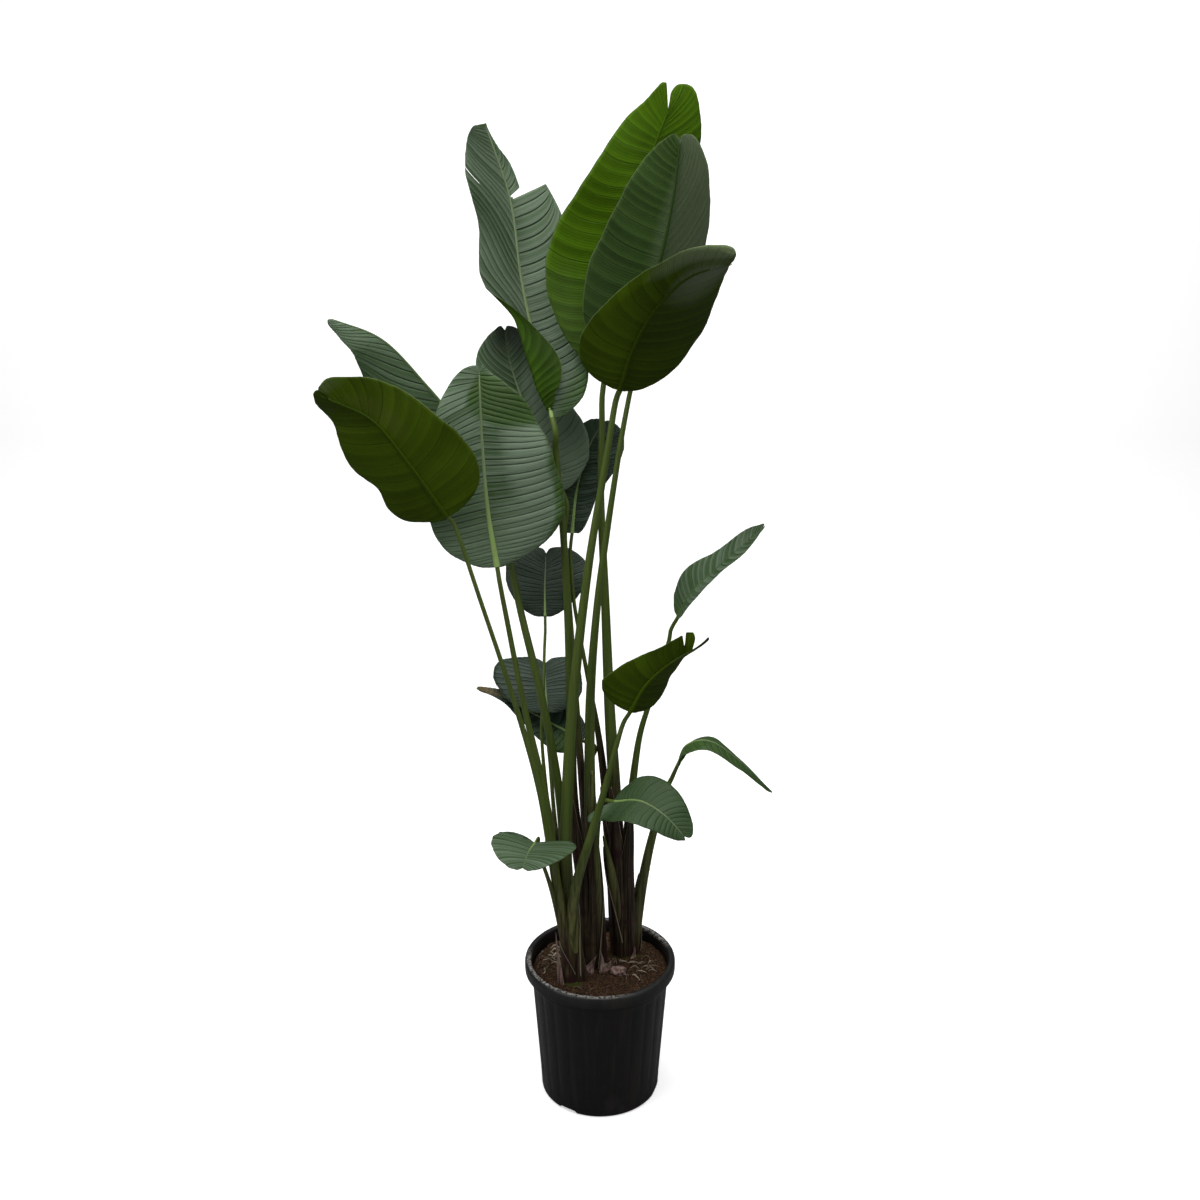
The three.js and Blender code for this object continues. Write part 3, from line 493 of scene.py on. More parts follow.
# A leaf's midrib runs through the points of "rib", and "up" is how its top faces at its foot and its tip.
# For each half, "w" is its width from foot to tip, "sweep" is how far it leans forward, in degrees, and
# "bend" is its fold at the rib and its curl towards the edge, each at foot and tip. "tilt" and "curve" carry
# its side veins forward on their way out. A roll has where it begins, its span and its turn. A tear has its
# share of the rib, the widths beyond it and the lean of the flap. A nick has its share of the rib, depth and
# opening, and a slit has its share, how far out it begins, and its opening. The waves of the edge have a
# height, a number and a start. A patch of glow (painted light shining through), sheen (a painted highlight),
# shade (painted shade) or dry leaf has its half, its middle and its reach, as shares along the rib and out to
# the edge, and its strength. Pleats have a number and a height, and "ribs" is the radius of the midrib at its
# foot and its tip. "rib_end" is how far up the midrib goes, "pale" is how pale it is, and the bloom value is
# how thick the bloom lies on the leaf, with a painted sheen of the sky in it.
LEAVES = {
    "top_right": {
        "rib": [(8, 60, 1616), (26, 68, 1777), (59, 80, 1921), (98, 98, 2047), (132, 112, 2132)],
        "up": [(-0.3, 0.85, 0.3), (-0.3, 0.85, 0.35)], "sweep": (-10, 20, 68), "wave": (7, 2.5, 0.1),
        "left": {"w": (4, 30, 70, 115, 150, 165, 160, 150, 138, 126, 108, 72, 36), "bend": (5, 5, 12, 12),
                 "sweep": (-10, 8, 22, 50, 98)},
        "right": {"w": (4, 22, 55, 106, 146, 148, 127, 105, 86, 72, 66, 62, 55), "bend": (5, 5, 12, 12),
                  "tilt": (0, -0.04, -0.07, -0.1, -0.08, 0), "curve": (0, 0.03, 0.04, 0.03, 0)},
        "glow": [("left", 0.9, 0.5, 0.3, 0.8, 0.25)], "sheen": [("right", 0.2, 0.7, 0.2, 0.5, 0.25)],
        "pale": 0.12, "finish": "sunlit", "pleats": (34, 0.8), "ribs": (5, 1.6),
    },
    "top_cupped": {
        "rib": [(61, -30, 1618), (92, -50, 1776), (119, -75, 1887), (135, -95, 1976), (144, -110, 2065)],
        "up": [(0.1, 0.9, 0.3), (0.1, 0.9, 0.3)], "sweep": (-10, 22, 66), "wave": (4, 2, 0.3),
        "left": {"w": (4, 30, 68, 105, 132, 138, 132, 120, 106, 88, 62, 30, 10), "bend": (42, 38, 22, 16),
                 "sweep": (-10, 8, 22, 46, 90), "tilt": (0, 0.1, 0.15, 0.15, 0)},
        "right": {"w": (4, 35, 80, 125, 140, 130, 118, 105, 86, 64, 42, 25, 10), "bend": (8, 8, 16, 16),
                  "tilt": (0, -0.04, -0.06, -0.06, 0)},
        "sheen": [("left", 0.6, 0.75, 0.55, 0.8, 1.0), ("right", 1.0, 0.5, 0.08, 0.9, 0.7),
                  ("left", 1.0, 0.5, 0.08, 0.9, 0.9), ("left", 0.55, 0.55, 0.4, 0.7, 1.0)],
        "shade": [("right", 0.1, 0.6, 0.35, 1.0, 0.35)],
        "pale": 0.25, "finish": "shaded", "pleats": (30, 0.8), "ribs": (5, 1.6),
    },
    "top_front": {
        "rib": [(38, -90, 1620), (64, -128, 1706), (104, -178, 1782), (158, -234, 1838), (222, -275, 1860)],
        "up": [(0, 0.8, 0.5), (-0.3, 0.6, 0.7)], "sweep": (-25, -5, 14, 42, 94), "wave": (4, 2, 0),
        "left": {"w": (4, 31, 73, 114, 143, 150, 136, 113, 86, 52, 22, 8, 3), "bend": (10, 10, 20, 20),
                 "sweep": (-25, -5, 14, 42, 80)},
        "right": {"w": (4, 33, 76, 103, 101, 84, 69, 62, 60, 57, 50, 34, 5), "bend": (10, 10, 25, 25),
                  "roll": ((1.6, 0.5), 0.4, 90)},
        "sheen": [("right", 0.76, 0.8, 0.22, 0.4, 1.0), ("left", 0.76, 0.5, 0.25, 0.8, 1.3),
                  ("right", 0.84, 0.2, 0.2, 0.4, 0.5)],
        "glow": [("right", 0.3, 0.6, 0.35, 0.6, 0.25), ("right", 0.72, 0.95, 0.35, 0.3, 1.3)],
        "pale": 0.15, "finish": "olive", "pleats": (26, 0.5), "ribs": (5, 1.4), "rib_end": 0.88,
    },
    "torn": {
        "rib": [(-96, 8, 1551), (-127, 62, 1670), (-160, 118, 1819), (-181, 155, 1968), (-230, 180, 2114)],
        "up": [(-0.2, -0.9, 0.3), (-0.2, -0.9, 0.3)], "sweep": (-10, 8, 24), "wave": (5, 3, 0.2),
        "left": {"w": (4, 12, 40, 80, 98, 62, 84, 78, 78, 74, 56, 36, 20), "bend": (15, 25, 0, 0),
                 "sweep": (10, 15, 15, 15, 12, 5), "tilt": (0, 0.08, 0.12, 0.15, 0.18, 0.18, 0.13, 0.06, 0),
                 "curve": (0, 0),
                 "roll": ((0.4, 0.3, 0.2, 0.15, 0.36, 1.2, 1.5, 1.5, 1.5, 1.5, 1.5), 0.22, 170),
                 "slits": [(0.58, 0.68, 0.001)]},
        "right": {"w": (4, 35, 72, 95, 106, 114, 118, 106, 80), "bend": (-17, -14, -10, -10),
                  "curve": (0, 0.04, 0.06, 0.05, 0),
                  "tear": (0.67, (28, 26, 13, 5, 3, 3), 18)},
        "glow": [("right", 0.1, 0.9, 0.16, 0.6, 0.7), ("left", 0.98, 0.25, 0.07, 0.25, 1.3)],
        "sheen": [("right", 0.45, 0.5, 0.25, 0.6, 0.25)],
        "pale": 1.0,
        "shade": [("left", 0.45, 0.5, 0.25, 0.8, 0.38), ("left", 0.1, 0.9, 0.38, 0.6, 0.48),
                  ("left", 0.85, 0.6, 0.3, 0.8, 0.42),
                  ("right", 0.0, 0.5, 0.2, 0.6, 0.3)],
        "finish": "bloomed_and_sheened", "pleats": (42, 1.7), "ribs": (4.5, 2.2),
    },
    "far_left_front": {
        "rib": [(-297, -125, 1379), (-359, -165, 1489), (-420, -190, 1577), (-496, -205, 1619)],
        "up": [(-0.25, 0.8, 0.5), (-0.4, 0.7, 0.55)], "sweep": (-15, 8, 42, 112), "wave": (5, 2.5, 0.15),
        "left": {"w": (4, 45, 92, 112, 115, 105, 92, 80, 74, 64, 46, 26, 12), "bend": (8, 8, 15, 15)},
        "right": {"w": (4, 34, 78, 98, 92, 112, 104, 88, 78, 66, 50, 32, 14), "bend": (8, 8, 15, 15)},
        "dry": [("left", 0.6, 0.3, 0.14, 0.25, 0.12)],
        "glow": [("left", 0.2, 0.3, 0.5, 0.9, 0.5), ("right", 0.3, 0.6, 0.4, 0.7, 0.38)],
        "sheen": [("left", 0.9, 0.9, 0.2, 0.35, 0.3)],
        "pale": 0.3, "finish": "olive", "pleats": (24, 0.25), "ribs": (4.5, 1.0),
    },
    "far_left_back": {
        "rib": [(-226, 40, 1422), (-281, 48, 1520), (-354, 55, 1612), (-437, 58, 1700), (-537, 60, 1741)],
        "up": [(-0.1, -0.8, 0.55), (-0.2, -0.75, 0.6)], "sweep": (-10, 15, 50), "wave": (4, 2, 0),
        "left": {"w": (4, 45, 88, 112, 112, 78, 45, 20, 8), "bend": (-5, -5, -15, -15),
                 "tilt": (0, 0.08, 0.14, 0.14, 0.08, 0)},
        "right": {"w": (4, 45, 75, 85, 85, 72, 50, 22, 8), "bend": (-80, -80, -15, -15)},
        "bloom": 0.6, "sheen": [("left", 0.9, 0.5, 0.25, 0.8, 0.34)],
        "pale": 0.3, "finish": "bloomed_and_sheened", "pleats": (28, 2.0), "ribs": (5, 2),
    },
    "large_front": {
        "rib": [(-206, -75, 1265), (-223, -62, 1379), (-233, -38, 1515), (-238, -5, 1648)],
        "up": [(0.05, -0.9, 0.4), (0.05, -0.85, 0.5)], "sweep": (-8, 12, 55), "wave": (5, 3, 0.4),
        "left": {"w": (4, 30, 62, 98, 115, 124, 122, 110, 90, 70, 45, 22, 10), "bend": (8, 8, -18, -18),
                 "tilt": (0, -0.02, -0.05, -0.1, -0.15, 0), "curve": (0, 0.02, 0, 0, 0)},
        "right": {"w": (4, 30, 80, 130, 154, 158, 144, 124, 98, 62, 32, 18, 10), "bend": (8, 8, -18, -18),
                  "tilt": (0, 0, -0.02, -0.08, -0.15, 0), "curve": (0, 0.03, 0.03, 0.01, 0)},
        "bloom": 1.25,
        "glow": [("right", 0.80, 0.4, 0.13, 0.75, 1.8), ("right", 0.38, 1.0, 0.2, 0.11, 1.2),
                 ("left", 0.2, 0.5, 0.3, 0.9, 0.2)],
        "sheen": [("right", 0.55, 0.7, 0.2, 0.4, 0.75), ("right", 0.2, 0.5, 0.2, 0.7, 0.4),
                  ("left", 0.15, 0.5, 0.25, 0.7, 0.5)],
        "shade": [("right", 0.80, 0.4, 0.13, 0.75, 0.28)],
        "pale": 0.9, "finish": "bloomed_and_sheened", "pleats": (40, 1.9), "ribs": (7, 2.4),
    },
    "dark_back": {
        "rib": [(-80, 85, 1388), (-108, 95, 1470), (-151, 108, 1548), (-184, 122, 1643), (-195, 130, 1711)],
        "up": [(-0.1, -0.9, 0.4), (-0.2, -0.85, 0.5)], "sweep": (-15, 15, 60), "wave": (4, 2.5, 0),
        "left": {"w": (4, 22, 42, 60, 74, 84, 90, 88, 74, 52, 32, 20, 12), "bend": (12, 12, -20, -20),
                 "tilt": (0, 0.05, 0.08, 0.06, 0)},
        "right": {"w": (4, 22, 48, 78, 92, 90, 82, 74, 64, 48, 32, 18, 12), "bend": (12, 12, -20, -20)},
        "bloom": 0.8, "sheen": [("right", 0.3, 0.6, 0.32, 0.7, 1.3)],
        "shade": [("right", 0.95, 0.6, 0.33, 1.0, 1.0), ("left", 0.95, 0.6, 0.33, 1.0, 1.0)],
        "pale": 1.0, "finish": "bloomed_and_sheened", "pleats": (36, 0.6), "ribs": (5, 2.2),
    },
    "slim_back": {
        "rib": [(-59, 90, 1294), (-49, 105, 1383), (-27, 118, 1462), (2, 128, 1519)],
        "up": [(0, -0.9, 0.4), (0, -0.9, 0.4)], "sweep": (-15, 20, 60), "wave": (4, 2, 0),
        "left": {"w": (4, 22, 42, 54, 56, 48, 36, 20, 8), "bend": (10, 10, -10, -10)},
        "right": {"w": (4, 22, 36, 50, 78, 82, 60, 30, 10), "bend": (15, 15, -10, -10)},
        "bloom": 1.5, "shade": [("left", 1.0, 0.5, 0.05, 1.4, 1.0)],
        "glow": [("left", 0.5, 0.5, 0.4, 0.8, 0.3)],
        "pale": 0.9, "finish": "dark", "pleats": (36, 1.5), "ribs": (5, 1.8),
    },
    "small_round": {
        "rib": [(-119, 100, 1106), (-120, 130, 1167), (-118, 165, 1228)],
        "up": [(0, -0.8, 0.6), (0, -0.6, 0.8)], "sweep": (-20, 8, 60), "wave": (3, 2, 0),
        "left": {"w": (4, 22, 46, 70, 88, 90, 62, 28, 10), "bend": (8, 8, -15, -15)},
        "right": {"w": (4, 20, 44, 72, 96, 93, 63, 30, 10), "bend": (8, 8, -15, -15)},
        "bloom": 0.5, "shade": [("left", 1.0, 0.0, 0.04, 0.8, 1.0)],
        "pale": 0.85, "finish": "dark", "pleats": (26, 0.6), "ribs": (3.6, 1.4),
    },
    "low_arched": {
        "rib": [(-116, 65, 897), (-120, 110, 931), (-124, 175, 969)],
        "up": [(0, -0.5, 0.85), (0, -0.3, 0.95)], "sweep": (-20, 5, 50), "wave": (4, 2, 0.2),
        "left": {"w": (4, 20, 44, 74, 102, 126, 116, 60, 16), "bend": (5, 5, -25, -25)},
        "right": {"w": (4, 20, 44, 72, 84, 86, 84, 50, 16), "bend": (5, 5, -25, -25)},
        "bloom": 0.9, "shade": [("left", 1.0, 0.5, 0.05, 0.7, 0.9), ("right", 1.0, 0.5, 0.04, 0.5, 0.9)],
        "pale": 0.7, "finish": "dark", "pleats": (26, 1.3), "ribs": (3.6, 1.4),
    },
    "low_dry_tip": {
        "rib": [(-40, 80, 824), (-89, 95, 847), (-156, 115, 877), (-217, 135, 905), (-274, 150, 921)],
        "up": [(0.1, -0.6, 0.75), (0.1, -0.6, 0.75)], "sweep": (-20, 15, 50), "wave": (0, 1, 0),
        "left": {"w": (4, 30, 54, 50, 30, 14, 9, 7, 4), "bend": (5, 5, -25, -25)},
        "right": {"w": (4, 26, 55, 68, 46, 24, 14, 8, 4), "bend": (5, 5, -25, -25)},
        "dry": [("left", 1.0, 0, 0.32, 4, 1.0)], "bloom": 0.7, "glow": [("left", 0.15, 0.5, 0.25, 0.9, 1.0)],
        "pale": 0.7, "finish": "dark", "pleats": (26, 1.2), "ribs": (4.5, 1.4),
    },
    "right_high": {
        "rib": [(163, 0, 1136), (190, -15, 1195), (235, -30, 1246), (287, -45, 1300), (326, -55, 1340)],
        "up": [(-0.7, -0.25, 0.6), (-0.7, -0.2, 0.6)], "sweep": (-10, 20, 60), "wave": (3, 2, 0),
        "left": {"w": (4, 38, 56, 58, 46, 36, 25, 16, 8), "bend": (12, 12, 5, 5)},
        "right": {"w": (4, 20, 33, 42, 42, 38, 27, 16, 8), "bend": (4, 4, 8, 8)},
        "bloom": 1.0, "glow": [("left", 0.05, 0.5, 0.16, 0.9, 0.8)],
        "pale": 0.2, "finish": "bloomed_and_sheened", "pleats": (26, 1.0), "ribs": (4.5, 1.4),
    },
    "right_middle": {
        "rib": [(61, -125, 973), (92, -145, 1039), (134, -165, 1089), (180, -180, 1125)],
        "up": [(0.1, 0.7, 0.6), (0.2, 0.5, 0.8)], "sweep": (-20, 10, 60), "wave": (4, 2, 0),
        "left": {"w": (4, 34, 60, 64, 48, 44, 54, 52, 42), "bend": (15, 15, 20, 20)},
        "right": {"w": (4, 50, 84, 68, 49, 46, 47, 46, 26), "bend": (15, 15, 20, 20),
                  "nicks": [(0.8, 0.75, 0.018)]},
        "glow": [("right", 0.3, 0.6, 0.4, 0.8, 0.4), ("right", 1.0, 0.5, 0.16, 1.0, 1.6)],
        "pale": 0.4, "finish": "olive", "pleats": (16, 0.6), "ribs": (4.5, 1.2),
    },
    "right_drooping": {
        "rib": [(172, 58, 774), (190, 50, 824), (240, 38, 839), (305, 22, 799), (373, 5, 736)],
        "up": [(-0.2, 0.05, 0.95), (0.35, 0.1, 0.9)], "sweep": (-10, 20, 60), "wave": (0, 1, 0),
        "left": {"w": (4, 25, 42, 48, 48, 42, 30, 15, 5), "bend": (-5, -5, -8, -8)},
        "right": {"w": (4, 24, 38, 42, 38, 33, 24, 13, 5), "bend": (-12, -12, -8, -8)},
        "dry": [("left", 1.0, 0, 0.07, 4, 0.9)], "bloom": 0.02,
        "glow": [("right", 0.3, 0.5, 0.4, 1.2, 0.6), ("left", 0.3, 0.5, 0.4, 1.2, 0.6)],
        "pale": 0.6, "finish": "bloomed_and_sheened", "pleats": (26, 0.8), "ribs": (4.5, 1.4),
    },
    "right_low": {
        "rib": [(32, -45, 734), (84, -85, 755), (133, -125, 743), (174, -150, 707)],
        "up": [(0.1, -0.5, 0.85), (0.4, -0.7, 0.6)], "sweep": (-25, 10, 60), "wave": (3, 1.5, 0),
        "left": {"w": (4, 38, 64, 76, 70, 56, 42, 24, 10), "bend": (5, 5, -15, -15)},
        "right": {"w": (16, 78, 68, 68, 64, 48, 30, 16, 10), "bend": (16, 3, -15, -15),
                  "sweep": (-58, -18, 18, 60)},
        "bloom": 0.16, "sheen": [("right", 0.1, 0.6, 0.1, 0.5, 0.4)],
        "pale": 0.7, "finish": "bloomed_and_sheened", "pleats": (24, 0.8), "ribs": (4.5, 1.6),
    },
    "left_low": {
        "rib": [(-138, -95, 662), (-146, -140, 670), (-152, -185, 675), (-156, -225, 674)],
        "up": [(0, -0.3, 0.95), (0, -0.8, 0.6)], "sweep": (-8, 5, 50), "wave": (0, 1, 0),
        "left": {"w": (4, 62, 92, 96, 84, 62, 40, 22, 8), "bend": (16, 8, -4, -15)},
        "right": {"w": (4, 70, 82, 86, 78, 62, 42, 24, 8), "bend": (14, 6, -4, -15),
                  "roll": ((0.58, 2.6), 0.3, 90)},
        "bloom": 0.9,
        "pale": 0.6, "finish": "bloomed_and_sheened", "pleats": (20, 0.8), "ribs": (3.6, 1.4),
    },
}


def along(values, share):
    """Places on a smooth line through the values, at shares from 0 to 1."""
    values = np.asarray(values, float)
    values = np.concatenate([[2 * values[0] - values[1]], values, [2 * values[-1] - values[-2]]])
    x = np.clip(share, 0, 1) * (len(values) - 3)
    i = np.minimum(x.astype(int), len(values) - 4)
    w = x - i
    a, b, c, d = (values[i + k] for k in range(4))
    if values.ndim > 1:
        w = w[:, None]
    return 0.5 * (2 * b + (c - a) * w + (2 * a - 5 * b + 4 * c - d) * w**2 + (3 * b - a - 3 * c + d) * w**3)


def unit(arrows):
    """The same arrows, each one long."""
    return arrows / np.linalg.norm(arrows, axis=-1, keepdims=True)


def heading(path, share):
    """The way a smooth path goes at each share of it."""
    return unit(along(path, np.minimum(share + 1e-4, 1)) - along(path, np.maximum(share - 1e-4, 0)))


def run_of(line):
    """How far along a line each of its points is."""
    return np.concatenate([[0], np.cumsum(np.linalg.norm(np.diff(line, axis=0), axis=1))])


def spaced(line, share):
    """Points at shares of the length of a line."""
    run = run_of(line)
    return np.stack([np.interp(share * run[-1], run, line[:, k]) for k in range(3)], axis=1)


def stalk_path(stalk):
    """A stalk's points. It bends into line with its midrib just before it meets the leaf."""
    points = list(stalk["path"])
    if stalk["leaf"]:
        rib = LEAVES[stalk["leaf"]]["rib"]
        ahead = heading(rib, np.array([0.0]))[0]
        points += [tuple(np.array(rib[0]) - STALK_LEAD * ahead), rib[0]]
    return spaced(along(points, np.linspace(0, 1, FINE_STEPS)), np.linspace(0, 1, STALK_STEPS + 1))


def keep_values(piece, named):
    """Stores named numbers or vectors on the piece's points."""
    for name, values in named.items():
        values = np.asarray(values, np.float32)
        kind, field = ("FLOAT", "value") if values.ndim == 1 else ("FLOAT_VECTOR", "vector")
        piece.data.attributes.new(name, kind, "POINT").data.foreach_set(field, values.ravel())


def line_piece(name, lines):
    """A piece of separate lines. Each has its points, and values that are stored on them."""
    whole = {key: np.concatenate([line[key] for line in lines]) for key in lines[0]}
    points = whole.pop("points")
    starts = np.cumsum([len(line["points"]) for line in lines])
    piece = new_piece(name, points, [], [(k, k + 1) for k in range(len(points) - 1) if k + 1 not in starts])
    keep_values(piece, whole)
    return piece


def shell_line(middle, ahead, turn, reach, spread):
    """The line of an open shell: its middle, where its back faces, how wide it is and how far round."""
    face = np.array([math.cos(math.radians(turn)), math.sin(math.radians(turn)), 0.0])
    face = unit(face - ahead * (ahead @ face)[:, None])
    return {"points": middle * MM, "centre": middle * MM, "facing": face, "sideways": np.cross(ahead, face),
            "reach": reach * MM, "spread": spread}


def read(tree, name, kind="FLOAT"):
    """A stored value of the points, by name."""
    return step(tree, "GeometryNodeInputNamedAttribute", {"Name": name}, data_type=kind)


def skinned(tree, lines, section, **tilt):
    """Lines of points skinned with a section that is as wide as their stored radius."""
    radius = read(tree, "radius")
    line = step(tree, "GeometryNodeMeshToCurve", {"Mesh": lines})
    line = step(tree, "GeometryNodeSetCurveRadius", {"Curve": line, "Radius": radius})
    if tilt:
        line = step(tree, "GeometryNodeSetCurveTilt", {"Curve": line, **tilt})
    skin = {"Curve": line, "Profile Curve": section, "Scale": radius, "Fill Caps": True}
    return step(tree, "GeometryNodeCurveToMesh", skin)


def round_section(tree, sides):
    """A circle of radius 1 to skin lines with."""
    return step(tree, "GeometryNodeCurvePrimitiveCircle", {"Resolution": sides, "Radius": 1.0})


# a stalk: a line of points with radii, skinned with a round section that has a shallow channel
stalk_tree, given, result = start_shape_tree(
    "leaf_stalk", {"Channel": "Float", "Sides": "Int", "Material": "Material"}
)
section_at = axis_of(stalk_tree, step(stalk_tree, "GeometryNodeInputPosition"), "X")
channel_in = times(stalk_tree, ramp(stalk_tree, section_at, 0.55, 1.0, 0.0, -1.0), given["Channel"])
channelled = step(stalk_tree, "GeometryNodeSetPosition", {
    "Geometry": round_section(stalk_tree, given["Sides"]),
    "Offset": step(stalk_tree, "ShaderNodeCombineXYZ", {"X": channel_in}),
})
end_shape_tree(stalk_tree, result, skinned(stalk_tree, given["Geometry"], channelled), given["Material"])


def stored(tree, shape, name, value, domain, **selection):
    """A shape with a number stored by name."""
    return step(tree, "GeometryNodeStoreNamedAttribute", {
        "Geometry": shape, "Name": name, "Value": value, **selection,
    }, data_type="FLOAT", domain=domain)


def joined(tree, *shapes):
    """Several shapes as one."""
    whole = node(tree, "GeometryNodeJoinGeometry")
    for shape in shapes:
        tree.links.new(shape, whole.inputs[0])
    return whole.outputs[0]


def thickened(tree, sheet, thickness):
    """A sheet made a closed thin body, grown along its normals. The grown face is marked as upper."""
    growth = {"Mesh": sheet, "Offset Scale": thickness, "Individual": False}
    grown = node(tree, "GeometryNodeExtrudeMesh", growth).outputs
    marked = stored(tree, grown["Mesh"], "upper", 1.0, "FACE", Selection=grown["Top"])
    both = joined(tree, step(tree, "GeometryNodeFlipFaces", {"Mesh": sheet}), marked)
    return step(tree, "GeometryNodeMergeByDistance", {"Geometry": both, "Distance": 1e-6})


# a sheath: an open shell round its stalk, wide at the foot and closing to a point, with a thick edge
sheath_tree, given, result = start_shape_tree(
    "clasping_sheath", {"Thickness": "Float", "Material": "Material"}
)
arc_ends = {"Start": (-1.0, 0.0, 0.0), "End": (1.0, 0.0, 0.0)}
arc = step(sheath_tree, "GeometryNodeCurvePrimitiveLine", arc_ends)
arc = step(sheath_tree, "GeometryNodeResampleCurve", {"Curve": arc, "Count": SHEATH_RING})
arc_at = axis_of(sheath_tree, step(sheath_tree, "GeometryNodeInputPosition"), "X")
shell = step(sheath_tree, "GeometryNodeCurveToMesh", {
    "Curve": step(sheath_tree, "GeometryNodeMeshToCurve", {"Mesh": given["Geometry"]}),
    "Profile Curve": stored(sheath_tree, arc, "around", arc_at, "POINT"),
})
turned_by = times(sheath_tree, read(sheath_tree, "around"), read(sheath_tree, "spread"))
ways = []
for name, work in (("facing", "COSINE"), ("sideways", "SINE")):
    way = read(sheath_tree, name, "FLOAT_VECTOR")
    ways.append(vectors(sheath_tree, "SCALE", way, maths(sheath_tree, work, turned_by)))
outward = vectors(sheath_tree, "SCALE", vectors(sheath_tree, "ADD", *ways), read(sheath_tree, "reach"))
on_shell = vectors(sheath_tree, "ADD", read(sheath_tree, "centre", "FLOAT_VECTOR"), outward)
bent = step(sheath_tree, "GeometryNodeSetPosition", {"Geometry": shell, "Position": on_shell})
end_shape_tree(sheath_tree, result, thickened(sheath_tree, bent, given["Thickness"]), given["Material"])


def value_of(tree, name):
    """A stored value of the surface, for its finish."""
    return node(tree, "ShaderNodeAttribute", attribute_name=name).outputs["Fac"]


def browned(tree, where, green, lined, mottle, brown, purple, brown_to, end):
    """Green skin that is streaked brown and purple from its foot up to where its ruddy value says."""
    height = plus(tree, axis_of(tree, where, "Z"), times(tree, mottle, 0.2))
    brown = blend(tree, lined, (0.006, 0.0035, 0.002), brown)
    brown = blend(tree, ramp(tree, mottle, 0.42, 0.64), brown, purple)
    top = ramp(tree, value_of(tree, "ruddy"), 0.0, 1.0, *brown_to)
    return blend(tree, ramp(tree, minus(tree, top, height), -0.12, end), green, brown)


stalk_finish, tree, shader, where = start_finish("green_stalk", Specular_IOR_Level=0.3)
streaks = grain(tree, stretched(tree, where, 150, 150, 3), 1.0, 4.0, 0.6)
lined = ramp(tree, streaks, 0.36, 0.64)
green = blend(tree, streaks, (0.036, 0.068, 0.008), (0.115, 0.158, 0.028))
olive = blend(tree, lined, (0.036, 0.038, 0.012), (0.165, 0.155, 0.056))
green = blend(tree, ramp(tree, axis_of(tree, where, "Z"), 0.75, 0.42, 0.0, 0.85), green, olive)
skin = browned(tree, where, green, lined, grain(tree, where, 22.0, 3.0), (0.065, 0.045, 0.018),
               (0.036, 0.012, 0.010), (0.42, 1.0), 0.14)
end_finish(tree, shader, skin, streaks, 0.6, 0.6, ramp(tree, streaks, 0.2, 0.8, 0.32, 0.5))

sheath_finish, tree, shader, where = start_finish("sheath", Specular_IOR_Level=0.22)
streaks = grain(tree, stretched(tree, where, 190, 190, 4), 1.0, 4.0, 0.62)
lined = ramp(tree, streaks, 0.36, 0.66)
green = blend(tree, lined, (0.034, 0.046, 0.010), (0.155, 0.170, 0.050))
skin = browned(tree, where, green, lined, grain(tree, where, 26.0, 4.0), (0.085, 0.064, 0.034),
               (0.036, 0.014, 0.014), (0.50, 1.05), 0.1)
margin = ramp(tree, maths(tree, "ABSOLUTE", value_of(tree, "around")), 0.93, 0.975)
skin = laid(tree, skin, margin, 0.95, blend(tree, streaks, (0.16, 0.13, 0.09), (0.46, 0.40, 0.30)))
end_finish(tree, shader, skin, streaks, 0.7, 0.7, ramp(tree, streaks, 0.2, 0.8, 0.35, 0.6))

for side in FANS:
    stalk_lines, sheath_lines = [], []
    for stalk in (one for one in STALKS if one["fan"] == side):
        path = stalk_path(stalk)
        radius = along(stalk["radii"], np.linspace(0, 1, STALK_STEPS + 1))
        ruddy = np.full(len(path), stalk["ruddy"])
        stalk_lines.append({"points": path * MM, "radius": radius * MM, "ruddy": ruddy})
        # its sheath, from the crown up to the height where its edges meet
        tall, turn = stalk["sheath"]
        share = np.linspace(0, min(tall / run_of(path)[-1], 1), SHEATH_STEPS + 1)
        middle = spaced(path, share)
        part = np.linspace(0, 1, SHEATH_STEPS + 1)
        flare = SHEATH_CLEAR + SHEATH_FLARE * (1 - part) ** 0.7 + 0.5 * np.sin(9 * part)
        reach = along(stalk["radii"], share) + flare
        spread = SHEATH_WRAP * (1 - part**1.4) ** 0.9 + SHEATH_TIP
        sheath = shell_line(middle, unit(np.gradient(middle, axis=0)), turn, reach, spread)
        sheath_lines.append({**sheath, "ruddy": ruddy[: len(part)]})
    stalks = line_piece(f"stalks_{side}_skin", stalk_lines)
    grow(stalks, stalk_tree, Channel=STALK_CHANNEL, Sides=STALK_SIDES, Material=stalk_finish)
    fit_on(stalks, stalk_finish, "stalk", f"stalks_{side}")
    sheaths = line_piece(f"sheaths_{side}", sheath_lines)
    grow(sheaths, sheath_tree, Thickness=SHEATH_THICK * MM, Material=sheath_finish)
    fit_on(sheaths, sheath_finish, "stalk")


# ---- Litter and moss --------------------------------------------------------------------------------
# Old sheaths have dried and broken up round the crowns: pale curled shreds lie on the mix, and pointed
# brown stubs still stand in it. Moss grows on the damp mix at the feet of two fans.

